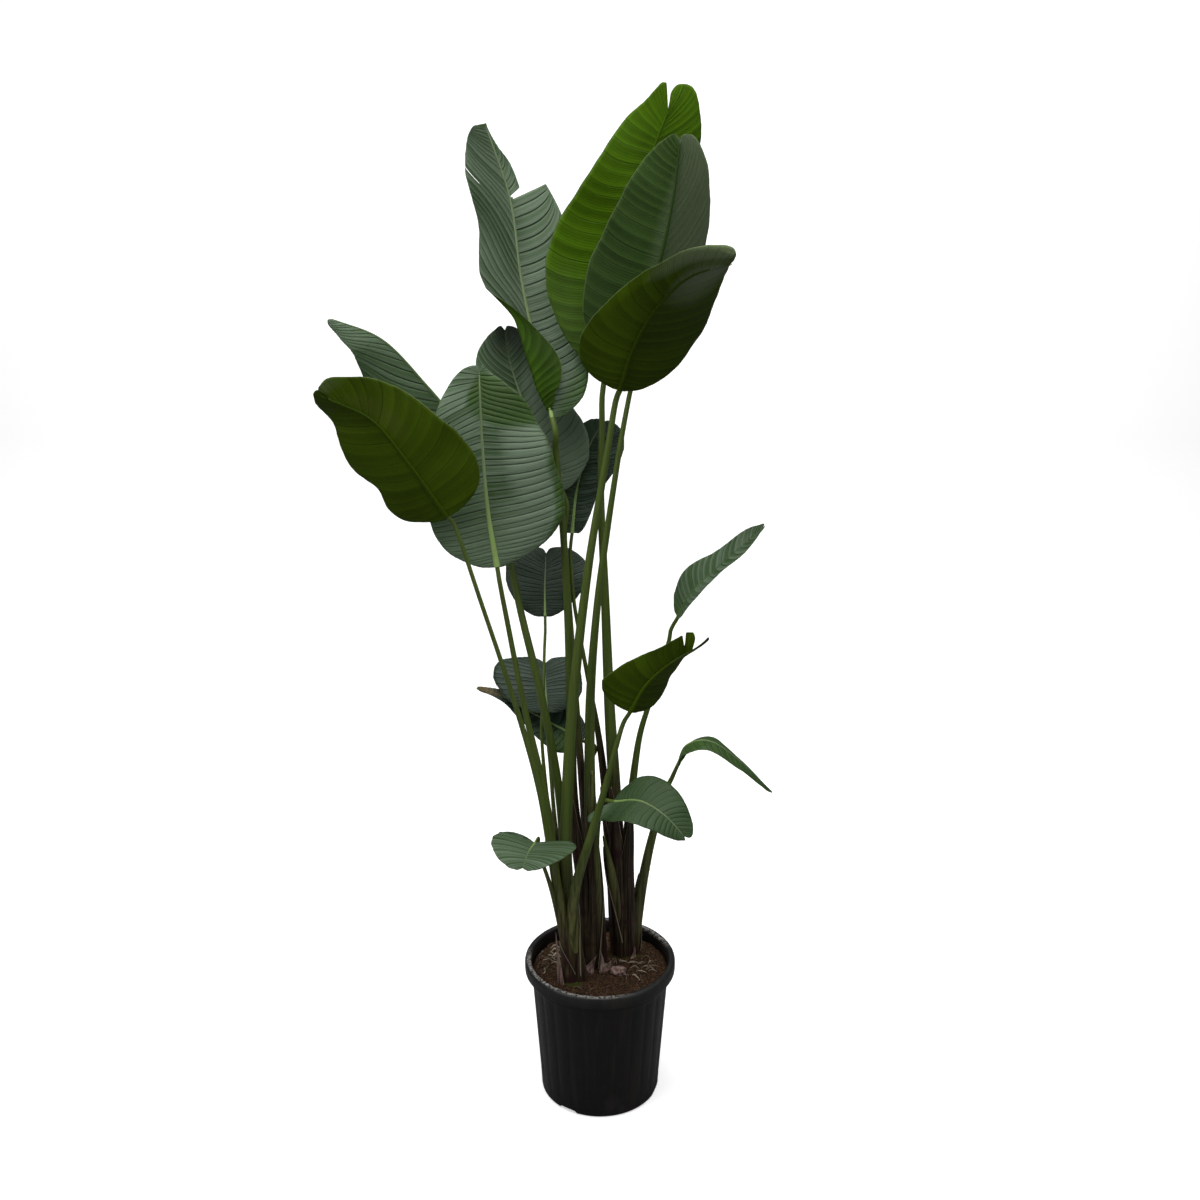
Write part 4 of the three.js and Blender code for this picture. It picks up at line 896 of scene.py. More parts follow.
SHRED_STEPS, SHRED_SEED, SHRED_LIMIT, STUB_STEPS, STUB_THICK = 8, 21, 148, 14, 0.8
SHRED_HEAPS = [
    {"at": (-110, 36), "half": (28, 50), "number": 34},
    {"at": (76, -6), "half": (50, 34), "number": 24},
    {"at": (30, -2), "half": (14, 14), "number": 6},
    {"at": (-20, -110), "half": (80, 20), "number": 3},
]
STUBS = [
    {"foot": (-22, -16, 298), "tip": (-5, -24, 348), "radii": (19, 3), "wrap": 0.9, "turn": 240},
    {"foot": (2, -16, 298), "tip": (-1, -22, 360), "radii": (17, 3), "wrap": 0.75, "turn": 300},
    {"foot": (18, -14, 298), "tip": (23, -20, 332), "radii": (12, 3), "wrap": 0.7, "turn": 285},
    {"foot": (-80, -70, 300), "tip": (-93, -72, 436), "radii": (12, 7), "wrap": 0.7, "turn": 236},
    {"foot": (70, 34, 300), "tip": (78, 28, 340), "radii": (14, 4), "wrap": 0.7, "turn": 300},
]
MOSS_BEDS = [{"at": (-58, -80), "half": (20, 11)}, {"at": (62, 32), "half": (34, 10)}]
MOSS_RINGS, MOSS_SPOKES, MOSS_GRAINS = 6, 24, 42000
BUD_AT, BUD_HALF = (42, -30), (18, 13, 12)

# a shred: a flat strip that follows its own bent line, wide in the middle and torn to points
shred_tree, given, result = start_shape_tree("dry_shred", {"Material": "Material"})
flat_section = step(shred_tree, "GeometryNodeTransform", {
    "Geometry": round_section(shred_tree, 6), "Scale": (1.0, 0.16, 1.0),
})
strip = skinned(shred_tree, given["Geometry"], flat_section, Tilt=read(shred_tree, "twist"))
end_shape_tree(shred_tree, result, strip, given["Material"])

straw_finish, tree, shader, where = start_finish("dry_straw", Roughness=0.8, Specular_IOR_Level=0.25)
straw_grain = grain(tree, stretched(tree, where, 400, 400, 90), 1.0, 3.0)
straw = blend(tree, value_of(tree, "tone"), (0.08, 0.05, 0.03), (0.52, 0.45, 0.33))
straw = laid(tree, straw, straw_grain, 0.35, (0.20, 0.14, 0.09))
end_finish(tree, shader, straw, straw_grain, 0.5, 0.5)

dice = random.Random(SHRED_SEED)
shred_lines = []
for heap in SHRED_HEAPS:
    for _ in range(heap["number"]):
        x = heap["at"][0] + heap["half"][0] * dice.uniform(-1, 1)
        y = heap["at"][1] + heap["half"][1] * dice.uniform(-1, 1)
        way, swerve = dice.uniform(0, 2 * math.pi), dice.uniform(-0.3, 0.3)
        long, lift = dice.uniform(8, 32), dice.uniform(0, 9)
        wide, tone, twist = dice.uniform(1.0, 2.4), dice.uniform(0.1, 1) ** 0.8, dice.uniform(-1.2, 1.2)
        points = []
        for k in range(SHRED_STEPS + 1):
            drawn_in = min(1, SHRED_LIMIT / max(1, math.hypot(x, y)))
            x, y = x * drawn_in, y * drawn_in
            part = k / SHRED_STEPS
            rise = 0.6 + lift * math.sin(math.pi * part) + 0.6 * math.sin(9 * part + way)
            points.append((x, y, soil_height(x, y) + rise))
            way += swerve
            x += long / SHRED_STEPS * math.cos(way)
            y += long / SHRED_STEPS * math.sin(way)
        part = np.linspace(0, 1, SHRED_STEPS + 1)
        shred_lines.append({
            "points": np.array(points) * MM,
            "radius": wide * (0.25 + np.sin(math.pi * (0.06 + 0.88 * part))) * 0.8 * MM,
            "twist": twist * part + math.pi / 2,
            "tone": np.full(len(part), tone),
        })
shreds = line_piece("dry_shreds", shred_lines)
grow(shreds, shred_tree, Material=straw_finish)
fit_on(shreds, straw_finish, "leaf_old")

# the stubs are what is left of old sheaths, so they are made as the sheaths are
stub_finish, tree, shader, where = start_finish("old_sheath", Roughness=0.7, Specular_IOR_Level=0.25)
stub_grain = grain(tree, stretched(tree, where, 260, 260, 14), 1.0, 4.0, 0.65)
stub = blend(tree, ramp(tree, stub_grain, 0.35, 0.65), (0.075, 0.036, 0.034), (0.36, 0.25, 0.21))
margin = ramp(tree, maths(tree, "ABSOLUTE", value_of(tree, "around")), 0.7, 1.0, 0.0, 0.7)
end_finish(tree, shader, blend(tree, margin, stub, (0.34, 0.28, 0.21)), stub_grain, 0.8, 0.7)

stub_lines = []
for stub in STUBS:
    part = np.linspace(0, 1, STUB_STEPS + 1)
    foot, tip = np.array(stub["foot"], float), np.array(stub["tip"], float)
    middle = foot + (tip - foot) * part[:, None] + np.outer(np.sin(math.pi * part) * 3, (0, 1, 0))
    wide, narrow = stub["radii"]
    reach = wide + (narrow - wide) * part + 0.8 * np.sin(11 * part)
    spread = stub["wrap"] * (1 - part**1.2) + 0.06
    ahead = np.tile(unit(tip - foot), (len(part), 1))
    stub_lines.append(shell_line(middle, ahead, stub["turn"], reach, spread))
stubs = line_piece("sheath_stubs", stub_lines)
grow(stubs, sheath_tree, Thickness=STUB_THICK * MM, Material=stub_finish)
fit_on(stubs, stub_finish, "leaf_old")

# one old bud has dried to a wrinkled brown lump
bud = new_piece("dried_bud", [], [])
bud_shape = bmesh.new()
bmesh.ops.create_icosphere(bud_shape, subdivisions=4, radius=1.0)
bud_middle = Vector((*BUD_AT, soil_height(*BUD_AT) + 5))
for vertex in bud_shape.verts:
    spot = vertex.co
    folds = 0.10 * math.sin(7 * math.atan2(spot.z, spot.y) + 2.5 * spot.x)
    size = 1 + 0.28 * noise.noise(spot * 1.7) + 0.12 * noise.noise(spot * 5.0) + folds
    vertex.co = (bud_middle + Vector([half * size * spot[k] for k, half in enumerate(BUD_HALF)])) * MM
bud_shape.to_mesh(bud.data)
bud_shape.free()
fit_on(bud, stub_finish, "leaf_old")

# moss: small grains close together over low mounds of mix
moss_finish, tree, shader, where = start_finish("moss", Roughness=0.95, Specular_IOR_Level=0.15)
moss_grain = grain(tree, where, 420.0, 3.0, 0.7)
moss = blend(tree, moss_grain, (0.012, 0.018, 0.004), (0.095, 0.105, 0.020))
moss = blend(tree, ramp(tree, grain(tree, where, 60.0, 2.0), 0.45, 0.7, 0.0, 0.6), moss, (0.06, 0.04, 0.02))
end_finish(tree, shader, moss, moss_grain, 1.0, 0.8)

points, faces = [], []
for bed in MOSS_BEDS:
    start = len(points)
    for ring in range(MOSS_RINGS + 1):
        part = ring / MOSS_RINGS
        for spoke in range(MOSS_SPOKES):
            turn = 2 * math.pi * spoke / MOSS_SPOKES
            x = bed["at"][0] + bed["half"][0] * part * math.cos(turn) * (1 + 0.2 * math.sin(3 * turn))
            y = bed["at"][1] + bed["half"][1] * part * math.sin(turn) * (1 + 0.2 * math.cos(2 * turn))
            points.append((x * MM, y * MM, (soil_height(x, y) + 3.0 * (1 - part**2) - 0.6) * MM))
    for inner in range(start, start + MOSS_RINGS * MOSS_SPOKES, MOSS_SPOKES):
        outer = inner + MOSS_SPOKES
        for spoke in range(MOSS_SPOKES):
            after = (spoke + 1) % MOSS_SPOKES
            faces.append((inner + spoke, outer + spoke, outer + after, inner + after))
moss_bed = new_piece("moss", points, faces)
grow(moss_bed, scatter_tree, Number=MOSS_GRAINS, Smallest=0.7 * MM, Largest=2.1 * MM, Flatness=1.2, Seed=4,
     Material=moss_finish)
fit_on(moss_bed, moss_finish, "soil")


# ---- Leaves -----------------------------------------------------------------------------------------
# Each blade is one leathery sheet on its midrib, which goes on from the stalk and stands out below.
# It is pleated along its side veins, and the wind has torn it, rolled its edges and dried its tips.

BLADE_THICKNESS, BEND_STEPS, ROLL_CLEAR, BOX_MARGIN, LEAST_WIDTH = 0.9, 30, 0.15, 1.5, 3
TEAR_GAP, TEAR_FROM, SLIT_GAP, ROW_GAP = 0.004, 0.05, 0.0012, 0.002
PLEAT_PHASES, PLEAT_UNEVEN, PLEAT_MIDDLE = (0.0, 0.07, 0.15, 0.4, 0.7, 0.9), 0.22, 0.6
PLEAT_SHAPE = ((0.12, 0.8), (0.32, 1.0), (0.82, 0.66))
RIB_STEPS, RIB_SIDES, SHEET_ROWS, COLUMNS, COLUMNS_IF_ROLLED = 70, 14, 200, 13, 24


def rib_share(s):
    """How far up the rib the side veins leave it. They are closer together at its ends."""
    return (1 - np.cos(np.pi * s)) / 2


def width_at(half, s):
    """The width of a half blade along its rib, short of its nicks, and of the flap beyond a tear."""
    if "tear" in half:
        end, beyond = half["tear"][:2]
        width = np.where(s <= end, along(half["w"], s / end), along(beyond, (s - end) / (1 - end)))
    else:
        width = along(half["w"], s)
    for at, depth, opening in half.get("nicks", ()):
        width = width * (1 - depth * np.clip(1 - np.abs(s - at) / opening, 0, 1))
    uneven = [noise.noise((x * 14.0, half["w"][1], 0)) + 0.5 * noise.noise((x * 37.0, 0, 5)) for x in s]
    return np.maximum(LEAST_WIDTH, width * (0.985 + 0.025 * np.array(uneven)))


def vein_rows(leaf, dice):
    """Where the rows of points leave the rib, and each row's pleat and phase, as one number."""
    pleats = leaf["pleats"][0]
    uneven = [0] + [dice.uniform(-PLEAT_UNEVEN, PLEAT_UNEVEN) for _ in range(pleats - 1)] + [0]
    bounds = (np.arange(pleats + 1) + np.array(uneven)) / pleats
    phases = np.array(PLEAT_PHASES)
    s = np.append((bounds[:-1, None] + np.diff(bounds)[:, None] * phases).ravel(), 1.0)
    number = np.append((np.arange(pleats)[:, None] + phases).ravel(), float(pleats))
    extra = []
    for half in (leaf["left"], leaf["right"]):
        if "tear" in half:
            extra += [half["tear"][0] - TEAR_GAP, half["tear"][0] + TEAR_GAP]
        for at, depth, opening in half.get("nicks", ()):
            extra += [at - opening, at, at + opening]
        for at, inner, opening in half.get("slits", ()):
            extra += [at - SLIT_GAP, at + SLIT_GAP]
    kept = np.array([all(abs(x - other) > ROW_GAP for other in extra) for x in s])
    both = sorted(list(zip(s[kept], number[kept])) + [(x, float(np.interp(x, s, number))) for x in extra])
    return np.array(both).T


def lie_of(leaf, t):
    """Which way the rib goes at shares of it, and which way is up from it."""
    ahead = heading(leaf["rib"], t)
    up = np.array(leaf["up"][0]) * (1 - t[:, None]) + np.array(leaf["up"][1]) * t[:, None]
    return ahead, unit(up - ahead * np.sum(up * ahead, axis=1, keepdims=True))


def open_half(leaf, half, sign, s):
    """Points of one half at shares of the rib, at even steps out to the edge."""
    t = rib_share(s)
    ahead, up = lie_of(leaf, t)
    lean = np.where(s > 0, along(half.get("sweep", leaf["sweep"]), s), 0)
    if "tear" in half:
        lean = lean + half["tear"][2] * (s > half["tear"][0])
    lean = np.radians(lean)[:, None]
    out = sign * np.cross(ahead, up) * np.cos(lean) + ahead * np.sin(lean)
    v = (np.arange(BEND_STEPS) + 0.5) / BEND_STEPS
    fold_start, fold_end, curl_start, curl_end = half["bend"]
    fold, curl = fold_start + (fold_end - fold_start) * s, curl_start + (curl_end - curl_start) * s
    bend = fold[:, None] + curl[:, None] * v
    if "roll" in half:
        begins, span, turn = half["roll"]
        begin = np.maximum(ROLL_CLEAR, along(begins, s))[:, None]
        x = np.clip((v - begin) / span, 0, 1)
        bend = bend + turn * x * x * (3 - 2 * x)
    bend = np.radians(bend)[..., None]
    moves = (width_at(half, s) / BEND_STEPS)[:, None, None] * (
        np.cos(bend) * out[:, None] + np.sin(bend) * up[:, None]
    )
    moves = np.concatenate([np.zeros((len(s), 1, 3)), np.cumsum(moves, axis=1)], axis=1)
    height, count, phase = leaf["wave"]
    ripple = height * np.sin(np.pi * s) * np.sin(2 * np.pi * (count * t + phase + 0.3 * sign))
    flutter = np.array([noise.noise((x * 9.0, sign * 3.0, leaf["pleats"][0])) for x in s])
    v = np.linspace(0, 1, BEND_STEPS + 1)
    lift = ripple[:, None] * v**2 + 2.4 * flutter[:, None] * v**3
    return along(leaf["rib"], t)[:, None] + moves + lift[..., None] * up[:, None]


def half_blade(leaf, half, sign, veins, columns):
    """Points of one half: columns from the rib to the edge, along each side vein."""
    shift = along(half.get("tilt", leaf.get("tilt", (0, 0))), veins)[:, None] * columns
    curve = half.get("curve", leaf.get("curve", (0, 0.03, 0.03, 0.02, 0)))
    shift = shift + along(curve, veins)[:, None] * columns**3
    if "tear" in half:
        shift = shift * np.clip(np.abs(veins - half["tear"][0]) / 0.1, 0, 1)[:, None]
    for slit_at, slit_from, opening in half.get("slits", ()):
        spread = opening * np.clip((columns - slit_from) / (1 - slit_from), 0, 1)
        apart = (np.abs(veins - slit_at) < 1.5 * SLIT_GAP) * np.sign(veins - slit_at)
        shift = shift + spread * apart[:, None]
    s = np.unique(np.concatenate([np.linspace(0, 1, SHEET_ROWS + 1), veins]))
    path = open_half(leaf, half, sign, s)
    # a side vein isn't straight: it leaves the rib and curves along the blade
    x = columns * BEND_STEPS
    k = np.minimum(x.astype(int), BEND_STEPS - 1)
    w = (x - k)[..., None]
    y = np.interp(np.clip(veins[:, None] + shift, 0, 1), s, np.arange(len(s)))
    row = np.minimum(y.astype(int), len(s) - 2)
    between = (y - row)[..., None]
    before, after = (path[r, k] * (1 - w) + path[r, k + 1] * w for r in (row, row + 1))
    return before * (1 - between) + after * between


def blade_sheet(name, leaf):
    """The leaf as one open sheet with its veins numbered, and its midrib as a line of points."""
    s, number = vein_rows(leaf, random.Random(name))
    halves = {-1: leaf["left"], 1: leaf["right"]}
    outs, points = {}, {}
    for sign, half in halves.items():
        near = np.minimum(np.array([1.5, 3.5, 6.5]) / width_at(half, s)[:, None], np.array([0.1, 0.2, 0.3]))
        count = COLUMNS_IF_ROLLED if "roll" in half else COLUMNS
        rest = near[:, -1:] + (1 - near[:, -1:]) * np.linspace(0, 1, count + 1)[1:]
        outs[sign] = np.concatenate([near, rest], axis=1)
        points[sign] = half_blade(leaf, half, sign, s, outs[sign])
    middle = along(leaf["rib"], rib_share(s))[:, None]
    grid = np.concatenate([points[-1][:, ::-1], middle, points[1]], axis=1)
    lowest, highest = (np.array(corner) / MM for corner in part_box(f"leaf_{name}"))
    grid = np.clip(grid, lowest + BOX_MARGIN, highest - BOX_MARGIN)
    across = np.concatenate([outs[-1][:, ::-1], np.zeros((len(s), 1)), outs[1]], axis=1)
    rows, columns = across.shape
    side = np.repeat([-1.0, 0.0, 1.0], [outs[-1].shape[1], 1, outs[1].shape[1]])
    fade = np.clip(across / 0.12, 0, 1) * np.clip((1.02 - across) / 0.25, 0, 1) ** 0.5
    fade = fade * np.clip(np.minimum(s / 0.06, (1.03 - s) / 0.12), 0, 1)[:, None]
    spot = np.arange(rows * columns).reshape(rows, columns)
    faces = np.stack([spot[:-1, :-1], spot[:-1, 1:], spot[1:, 1:], spot[1:, :-1]], axis=-1)
    # a tear is open from the rib to the edge, and a slit only near the edge
    is_open = np.zeros(faces.shape[:2], bool)
    for sign, half in halves.items():
        splits = [(at, inner, SLIT_GAP) for at, inner, opening in half.get("slits", ())]
        splits += [(half["tear"][0], TEAR_FROM, TEAR_GAP)] if "tear" in half else []
        for at, inner, gap in splits:
            between = (s[:-1] > at - gap - 0.0001) & (s[1:] < at + gap + 0.0001)
            beyond = np.minimum(across[:, :-1], across[:, 1:])[:-1] >= inner
            is_open |= between[:, None] & beyond & (np.sign(side[:-1] + side[1:]) == sign)
    # the midrib is thick at its foot, and sunk into the blade a little
    share = np.linspace(0, leaf.get("rib_end", 1), RIB_STEPS + 1)
    foot_radius, tip_radius = leaf["ribs"]
    radius = tip_radius + (foot_radius - tip_radius) * (1 - share) ** 1.2
    radius = radius * np.clip((share[-1] + 0.03 - share) / 0.06, 0.2, 1)
    up = lie_of(leaf, share)[1]
    sunk = radius * 0.3 * np.clip(share / 0.06, 0, 1)
    rib = along(leaf["rib"], share) - sunk[:, None] * up
    on_sheet, on_rib = np.zeros(rows * columns), np.zeros(len(share))
    values = {
        "pleat": np.append(np.repeat(number, columns), on_rib),
        "across": np.append(across, on_rib),
        "side": np.append(np.tile(side, rows), on_rib),
        "rise": np.append(fade, on_rib),
        "reach": np.append(np.repeat(s, columns), share),
        "bloom": np.full(rows * columns + len(share), leaf.get("bloom", 1.0)),
        "pale": np.full(rows * columns + len(share), leaf.get("pale", 0.7)),
        "rib": np.append(on_sheet, on_rib + 1),
        "radius": np.append(on_sheet, radius * MM),
        "upward": np.concatenate([np.zeros((rows * columns, 3)), up]),
    }
    # patches of painted light shining through, of painted sheen, of painted shade, and where it has dried
    at_v = values["side"] * values["across"]
    for kind in ("glow", "sheen", "shade", "dry"):
        values[kind] = np.zeros(len(at_v))
        for half, spot_s, spot_v, size_s, size_v, strength in leaf.get(kind, ()):
            spot_v = -spot_v if half == "left" else spot_v
            far = ((values["reach"] - spot_s) / size_s) ** 2 + ((at_v - spot_v) / size_v) ** 2
            values[kind] = np.maximum(values[kind], strength * np.clip(1.3 - far, 0, 1))
    piece = new_piece(
        f"blade_{name}", np.concatenate([grid.reshape(-1, 3), rib]) * MM, faces[~is_open].tolist(),
        [(k, k + 1) for k in range(rows * columns, rows * columns + RIB_STEPS)],
    )
    keep_values(piece, values)
    return piece


# the leaf's surface: the sheet pleated along its numbered veins and made solid, and the midrib skinned
leaf_tree, given, result = start_shape_tree("pleated_leaf", {
    "Pleat height": "Float", "Thickness": "Float", "Above": "Material", "Below": "Material",
})
is_rib = step(leaf_tree, "FunctionNodeCompare", {0: read(leaf_tree, "rib"), 1: 0.5}, operation="GREATER_THAN")
parts = node(leaf_tree, "GeometryNodeSeparateGeometry", {
    "Geometry": given["Geometry"], "Selection": is_rib,
}, domain="POINT").outputs
phase = maths(leaf_tree, "FRACT", read(leaf_tree, "pleat"))
pleat_shape = node(leaf_tree, "ShaderNodeFloatCurve", {"Value": phase})
shape_line = pleat_shape.mapping.curves[0]
shape_line.points[0].location = (0.0, 0.0)
shape_line.points[1].location = (1.0, 0.0)
for spot in PLEAT_SHAPE:
    shape_line.points.new(*spot)
pleat_shape.mapping.update()
swing = minus(leaf_tree, pleat_shape.outputs[0], PLEAT_MIDDLE)
swing = times(leaf_tree, swing, read(leaf_tree, "rise"))
raised = times(leaf_tree, swing, given["Pleat height"])
pleated = step(leaf_tree, "GeometryNodeSetPosition", {
    "Geometry": parts["Inverted"],
    "Offset": vectors(leaf_tree, "SCALE", step(leaf_tree, "GeometryNodeInputNormal"), raised),
})
rib_skin = skinned(leaf_tree, parts["Selection"], round_section(leaf_tree, RIB_SIDES))
rib_faces_up = node(leaf_tree, "ShaderNodeVectorMath", {
    0: step(leaf_tree, "GeometryNodeInputNormal"), 1: read(leaf_tree, "upward", "FLOAT_VECTOR"),
}, operation="DOT_PRODUCT").outputs["Value"]
marked_rib = stored(leaf_tree, rib_skin, "upper", ramp(leaf_tree, rib_faces_up, 0.1, 0.4), "POINT")
whole = joined(leaf_tree, marked_rib, thickened(leaf_tree, pleated, given["Thickness"]))
upper = read(leaf_tree, "upper")
faces_down = step(leaf_tree, "FunctionNodeCompare", {0: upper, 1: 0.5}, operation="LESS_THAN")
end_shape_tree(leaf_tree, result, whole, given["Above"], Selection=faces_down, Material=given["Below"])


def weighed(tree, *pairs):
    """A sum of values, each with its weight."""
    total = 0.0
    for value, weight in pairs:
        total = maths(tree, "MULTIPLY_ADD", value, weight, total)
    return total


def chance(tree, number):
    """A random number from 0 to 1 for each number."""
    return step(tree, "ShaderNodeTexWhiteNoise", {"W": number}, noise_dimensions="1D")


# The veins of every leaf: the groove between two pleats, the crest beside it that catches the light, the
# fine veins between them, a tone for each pleat, the leaf's thin edge, and the relief of them all.
vein_marks = ("Groove", "Crest", "Fine", "Tone", "Edge", "Height")
vein_group, given, result = start_group(
    "leaf_veins", {"Where": "Vector", "Fine veins": "Float"}, dict.fromkeys(vein_marks, "Float")
)
vein, side = value_of(vein_group, "pleat"), value_of(vein_group, "side")
phase = maths(vein_group, "FRACT", vein)
depth = chance(vein_group, weighed(vein_group, (maths(vein_group, "ROUND", vein), 1.0), (side, 0.37)))
groove = ramp(vein_group, maths(vein_group, "PINGPONG", vein, 0.5), 0.10, 0.0)
groove = times(vein_group, groove, ramp(vein_group, depth, 0.0, 1.0, 0.15, 1.15))
crest = times(vein_group, ramp(vein_group, phase, 0.06, 0.16), ramp(vein_group, phase, 0.62, 0.18))
fine = weighed(vein_group, (vein, 1.0), (grain(vein_group, given["Where"], 14.0, 2.0), 0.3))
fine = times(vein_group, fine, given["Fine veins"])
fine = times(vein_group, maths(vein_group, "PINGPONG", fine, 0.5), 2.0)
tone = chance(vein_group, weighed(vein_group, (maths(vein_group, "FLOOR", vein), 7.31), (side, 3.7)))
edge = ramp(vein_group, value_of(vein_group, "across"), 0.975, 0.995)
relief = weighed(vein_group, (fine, 0.5), (groove, -1.5))
for label, mark in zip(vein_marks, (groove, crest, fine, tone, edge, relief)):
    vein_group.links.new(mark, result[label])

# Each kind of leaf: its green above, the bloom over it with a painted sheen of the sky, its green below, and
# how strong these marks are: bloom and sheen, painted shade in the grooves, painted highlight on the crests,
# painted highlight and shade of the veins below, gloss. The sunlit kind is painted lit through, and the
# shaded kind is painted in shade.
LEAF_FINISHES = {
    "bloomed_and_sheened": (
        (0.024, 0.058, 0.012), (0.135, 0.190, 0.122), (0.034, 0.080, 0.003), (0.78, 0.7, 0.6, 0.3, 0.25),
    ),
    "dark": (
        (0.007, 0.020, 0.008), (0.062, 0.098, 0.066), (0.014, 0.034, 0.004), (0.65, 0.6, 0.5, 0.3, 0.3),
    ),
    "sunlit": (
        (0.030, 0.070, 0.006), (0.060, 0.110, 0.030), (0.053, 0.118, 0.003), (0.5, 0.4, 0.4, 0.36, 0.2),
    ),
    "shaded": (
        (0.030, 0.060, 0.010), (0.070, 0.100, 0.060), (0.034, 0.068, 0.015), (0.5, 0.4, 0.4, 0.4, 0.2),
    ),
    "olive": (
        (0.050, 0.095, 0.016), (0.150, 0.215, 0.100), (0.036, 0.063, 0.002), (0.5, 0.4, 0.4, 0.28, 0.08),
    ),
}
PALE_RIB, GREY_RIB, PALE_EDGE = (0.27, 0.40, 0.12), (0.17, 0.23, 0.11), (0.10, 0.13, 0.06)
LIT_THROUGH, SHEEN_BELOW = (0.040, 0.092, 0.012), (0.15, 0.19, 0.11)
DRY_DARK, DRY_PALE = (0.035, 0.028, 0.010), (0.20, 0.15, 0.06)
FINE_VEINS = 6.0


def dimmed(colour, share):
    """A colour made darker or lighter by a share."""
    return tuple(channel * share for channel in colour)


def leaf_finish(name, is_above):
    """The material of a leaf's upper or under side."""
    top, bloom, under, (bloomed_and_sheened, grooved, crested, lined, gloss) = LEAF_FINISHES[name]
    finish, tree, shader, where = start_finish(
        f"leaf_{name}_{'above' if is_above else 'below'}", Specular_IOR_Level=gloss if is_above else 0.05
    )
    inputs = {"Where": where, "Fine veins": FINE_VEINS}
    marks = node(tree, "ShaderNodeGroup", inputs, node_tree=vein_group).outputs
    lit = ramp(tree, marks["Tone"], 0.0, 1.0, 0.55, 1.25)
    glow = {0: value_of(tree, "glow"), 1: lit}
    glow = step(tree, "ShaderNodeMath", glow, operation="MULTIPLY", use_clamp=True)
    sheen = value_of(tree, "sheen")
    cloudy = grain(tree, where, 9.0, 4.0, 0.6)
    speckled = grain(tree, where, 330.0, 2.0)
    if is_above:
        # the bloom, with a painted sheen of the sky, lies thick on the crests as a painted highlight and thin
        # in the grooves, and painted light shines through where it glows
        share = weighed(tree, (marks["Tone"], 0.45), (cloudy, 0.65), (marks["Crest"], crested),
                        (marks["Fine"], -0.18))
        share = times(tree, ramp(tree, share, 0.1, 1.1, 0.0, bloomed_and_sheened), value_of(tree, "bloom"))
        share = times(tree, plus(tree, share, sheen), minus(tree, 1.0, glow))
        colour = laid(tree, blend(tree, share, top, bloom), glow, 0.9, LIT_THROUGH)
        # painted shade darkens the grooves
        colour = laid(tree, colour, marks["Groove"], grooved, dimmed(top, 0.35))
        rib_pale = blend(tree, ramp(tree, value_of(tree, "reach"), 0.1, 0.6), PALE_RIB, GREY_RIB)
        rib_colour = blend(tree, value_of(tree, "pale"), dimmed(top, 0.9), rib_pale)
    else:
        # deeper green, softly banded in painted light and shade across the pleats, with a faint darker line
        # at each vein; the crests get a painted highlight and the grooves painted shade
        share = weighed(tree, (marks["Tone"], 0.25), (cloudy, 0.75))
        colour = blend(tree, ramp(tree, share, 0.2, 0.8), dimmed(under, 0.7), dimmed(under, 1.3))
        colour = laid(tree, colour, marks["Fine"], 0.35, dimmed(under, 0.6))
        colour = laid(tree, colour, marks["Crest"], lined, dimmed(under, 1.6))
        colour = laid(tree, colour, marks["Groove"], lined, dimmed(under, 0.5))
        # painted light shines through where it glows, and a painted sheen lies in streaks between the fine
        # veins
        colour = laid(tree, colour, glow, 0.8, dimmed(under, 2.0))
        streaks = minus(tree, 1.0, times(tree, marks["Fine"], 0.5))
        colour = laid(tree, colour, times(tree, streaks, sheen), 0.9, SHEEN_BELOW)
        rib_colour = blend(tree, value_of(tree, "pale"), dimmed(under, 0.5), dimmed(under, 2.6))
    colour = blend(tree, value_of(tree, "rib"), colour, rib_colour)
    # painted shade patches darken the leaf almost to black
    colour = laid(tree, colour, value_of(tree, "shade"), 0.85, dimmed(top, 0.12))
    dried = maths(tree, "MINIMUM", value_of(tree, "dry"), 1.0)
    colour = blend(tree, dried, colour, blend(tree, cloudy, DRY_DARK, DRY_PALE))
    colour = laid(tree, colour, marks["Edge"], 0.7, PALE_EDGE)
    dull = ramp(tree, weighed(tree, (speckled, 0.4), (cloudy, 0.6)), 0.3, 0.7, 0.4, 0.55)
    relief = weighed(tree, (marks["Height"], 1.0), (speckled, 0.25))
    end_finish(tree, shader, colour, relief, 0.7, 0.7, dull)
    return finish


leaf_finishes = {name: (leaf_finish(name, True), leaf_finish(name, False)) for name in LEAF_FINISHES}
for name, leaf in LEAVES.items():
    blade = blade_sheet(name, leaf)
    above, below = leaf_finishes[leaf["finish"]]
    grow(blade, leaf_tree, Pleat_height=leaf["pleats"][1] * MM, Thickness=BLADE_THICKNESS * MM,
         Above=above, Below=below)
    fit_on(blade, None, "leaf_old" if name == "low_dry_tip" else "leaf_blade", f"leaf_{name}")


# ---- Room -------------------------------------------------------------------------------------------
# A pale plain floor that runs up into a backdrop, soft light from above and in front, and the camera.

CAMERA_DISTANCE, CAMERA_HEIGHT, CAMERA_PITCH, CAMERA_LENS = 2586, 1960, 16.93, 39.0

floor_points = [(x, y, z) for y, z in ((-6, 0), (3, 0), (3.6, 0.15), (4.0, 0.8), (4.1, 6)) for x in (-9, 9)]
floor_faces = [(2 * k, 2 * k + 1, 2 * k + 3, 2 * k + 2) for k in range(4)]
floor = new_piece("studio_floor", floor_points, floor_faces)
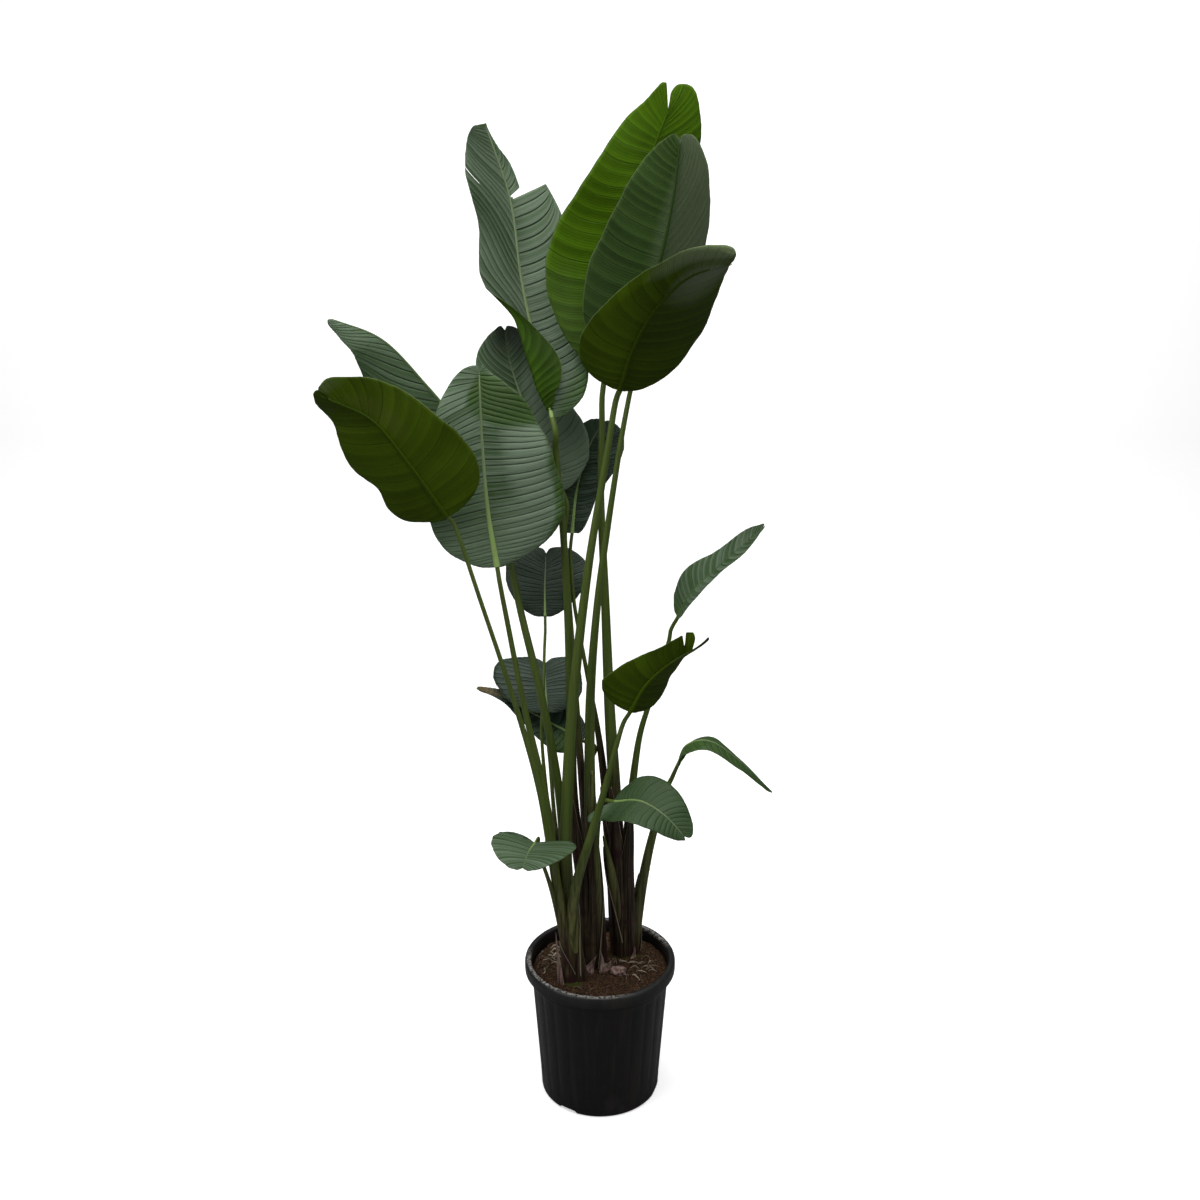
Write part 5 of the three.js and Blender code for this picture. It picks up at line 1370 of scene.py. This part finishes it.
# the paper looks white, and throws only a little of its light back on the plant
floor_finish, tree, shader, where = start_finish("studio_paper", Roughness=0.9, Specular_IOR_Level=0.1)
seen = step(tree, "ShaderNodeLightPath")
tree.links.new(blend(tree, seen, (0.2, 0.2, 0.2), (0.86, 0.86, 0.86)), shader.inputs["Base Color"])
shader.inputs["Emission Color"].default_value = (1, 1, 1, 1)
tree.links.new(times(tree, seen, 0.5), shader.inputs["Emission Strength"])
floor.data.materials.append(floor_finish)
floor.data.shade_smooth()


def soft_light(name, spot, aim, size, power):
    """A wide soft lamp at a spot, turned to its aim."""
    lamp = bpy.data.lights.new(name, "AREA")
    lamp.shape = "RECTANGLE"
    lamp.size, lamp.size_y = size
    lamp.energy = power
    holder = bpy.data.objects.new(name, lamp)
    holder.location = spot
    holder.rotation_euler = (Vector(aim) - Vector(spot)).to_track_quat("-Z", "Y").to_euler()
    bpy.context.scene.collection.objects.link(holder)


soft_light("overhead", (-0.2, -0.3, 4.2), (0, 0, 1.0), (3.6, 3.6), 170)
soft_light("front_left", (-3.0, -2.2, 2.6), (0, 0, 1.0), (1.4, 2.2), 34)
soft_light("front_right", (2.8, -2.2, 2.0), (0, 0, 1.0), (1.4, 2.2), 16)
soft_light("backdrop_wash", (0, 1.6, 4.5), (0, 4.0, 1.6), (5, 1.5), 60)

world = bpy.data.worlds.new("studio_air")
world.use_nodes = True
world.node_tree.nodes["Background"].inputs["Color"].default_value = (0.95, 0.97, 1.0, 1)
world.node_tree.nodes["Background"].inputs["Strength"].default_value = 0.16
bpy.context.scene.world = world
bpy.context.scene.view_settings.view_transform = "Standard"

camera_data = bpy.data.cameras.new("camera")
camera_data.lens = CAMERA_LENS
camera_data.sensor_width = 36
camera = bpy.data.objects.new("camera", camera_data)
camera.location = (0, -CAMERA_DISTANCE * MM, CAMERA_HEIGHT * MM)
camera.rotation_euler = (math.radians(90 - CAMERA_PITCH), 0, 0)
bpy.context.scene.collection.objects.link(camera)
bpy.context.scene.camera = camera
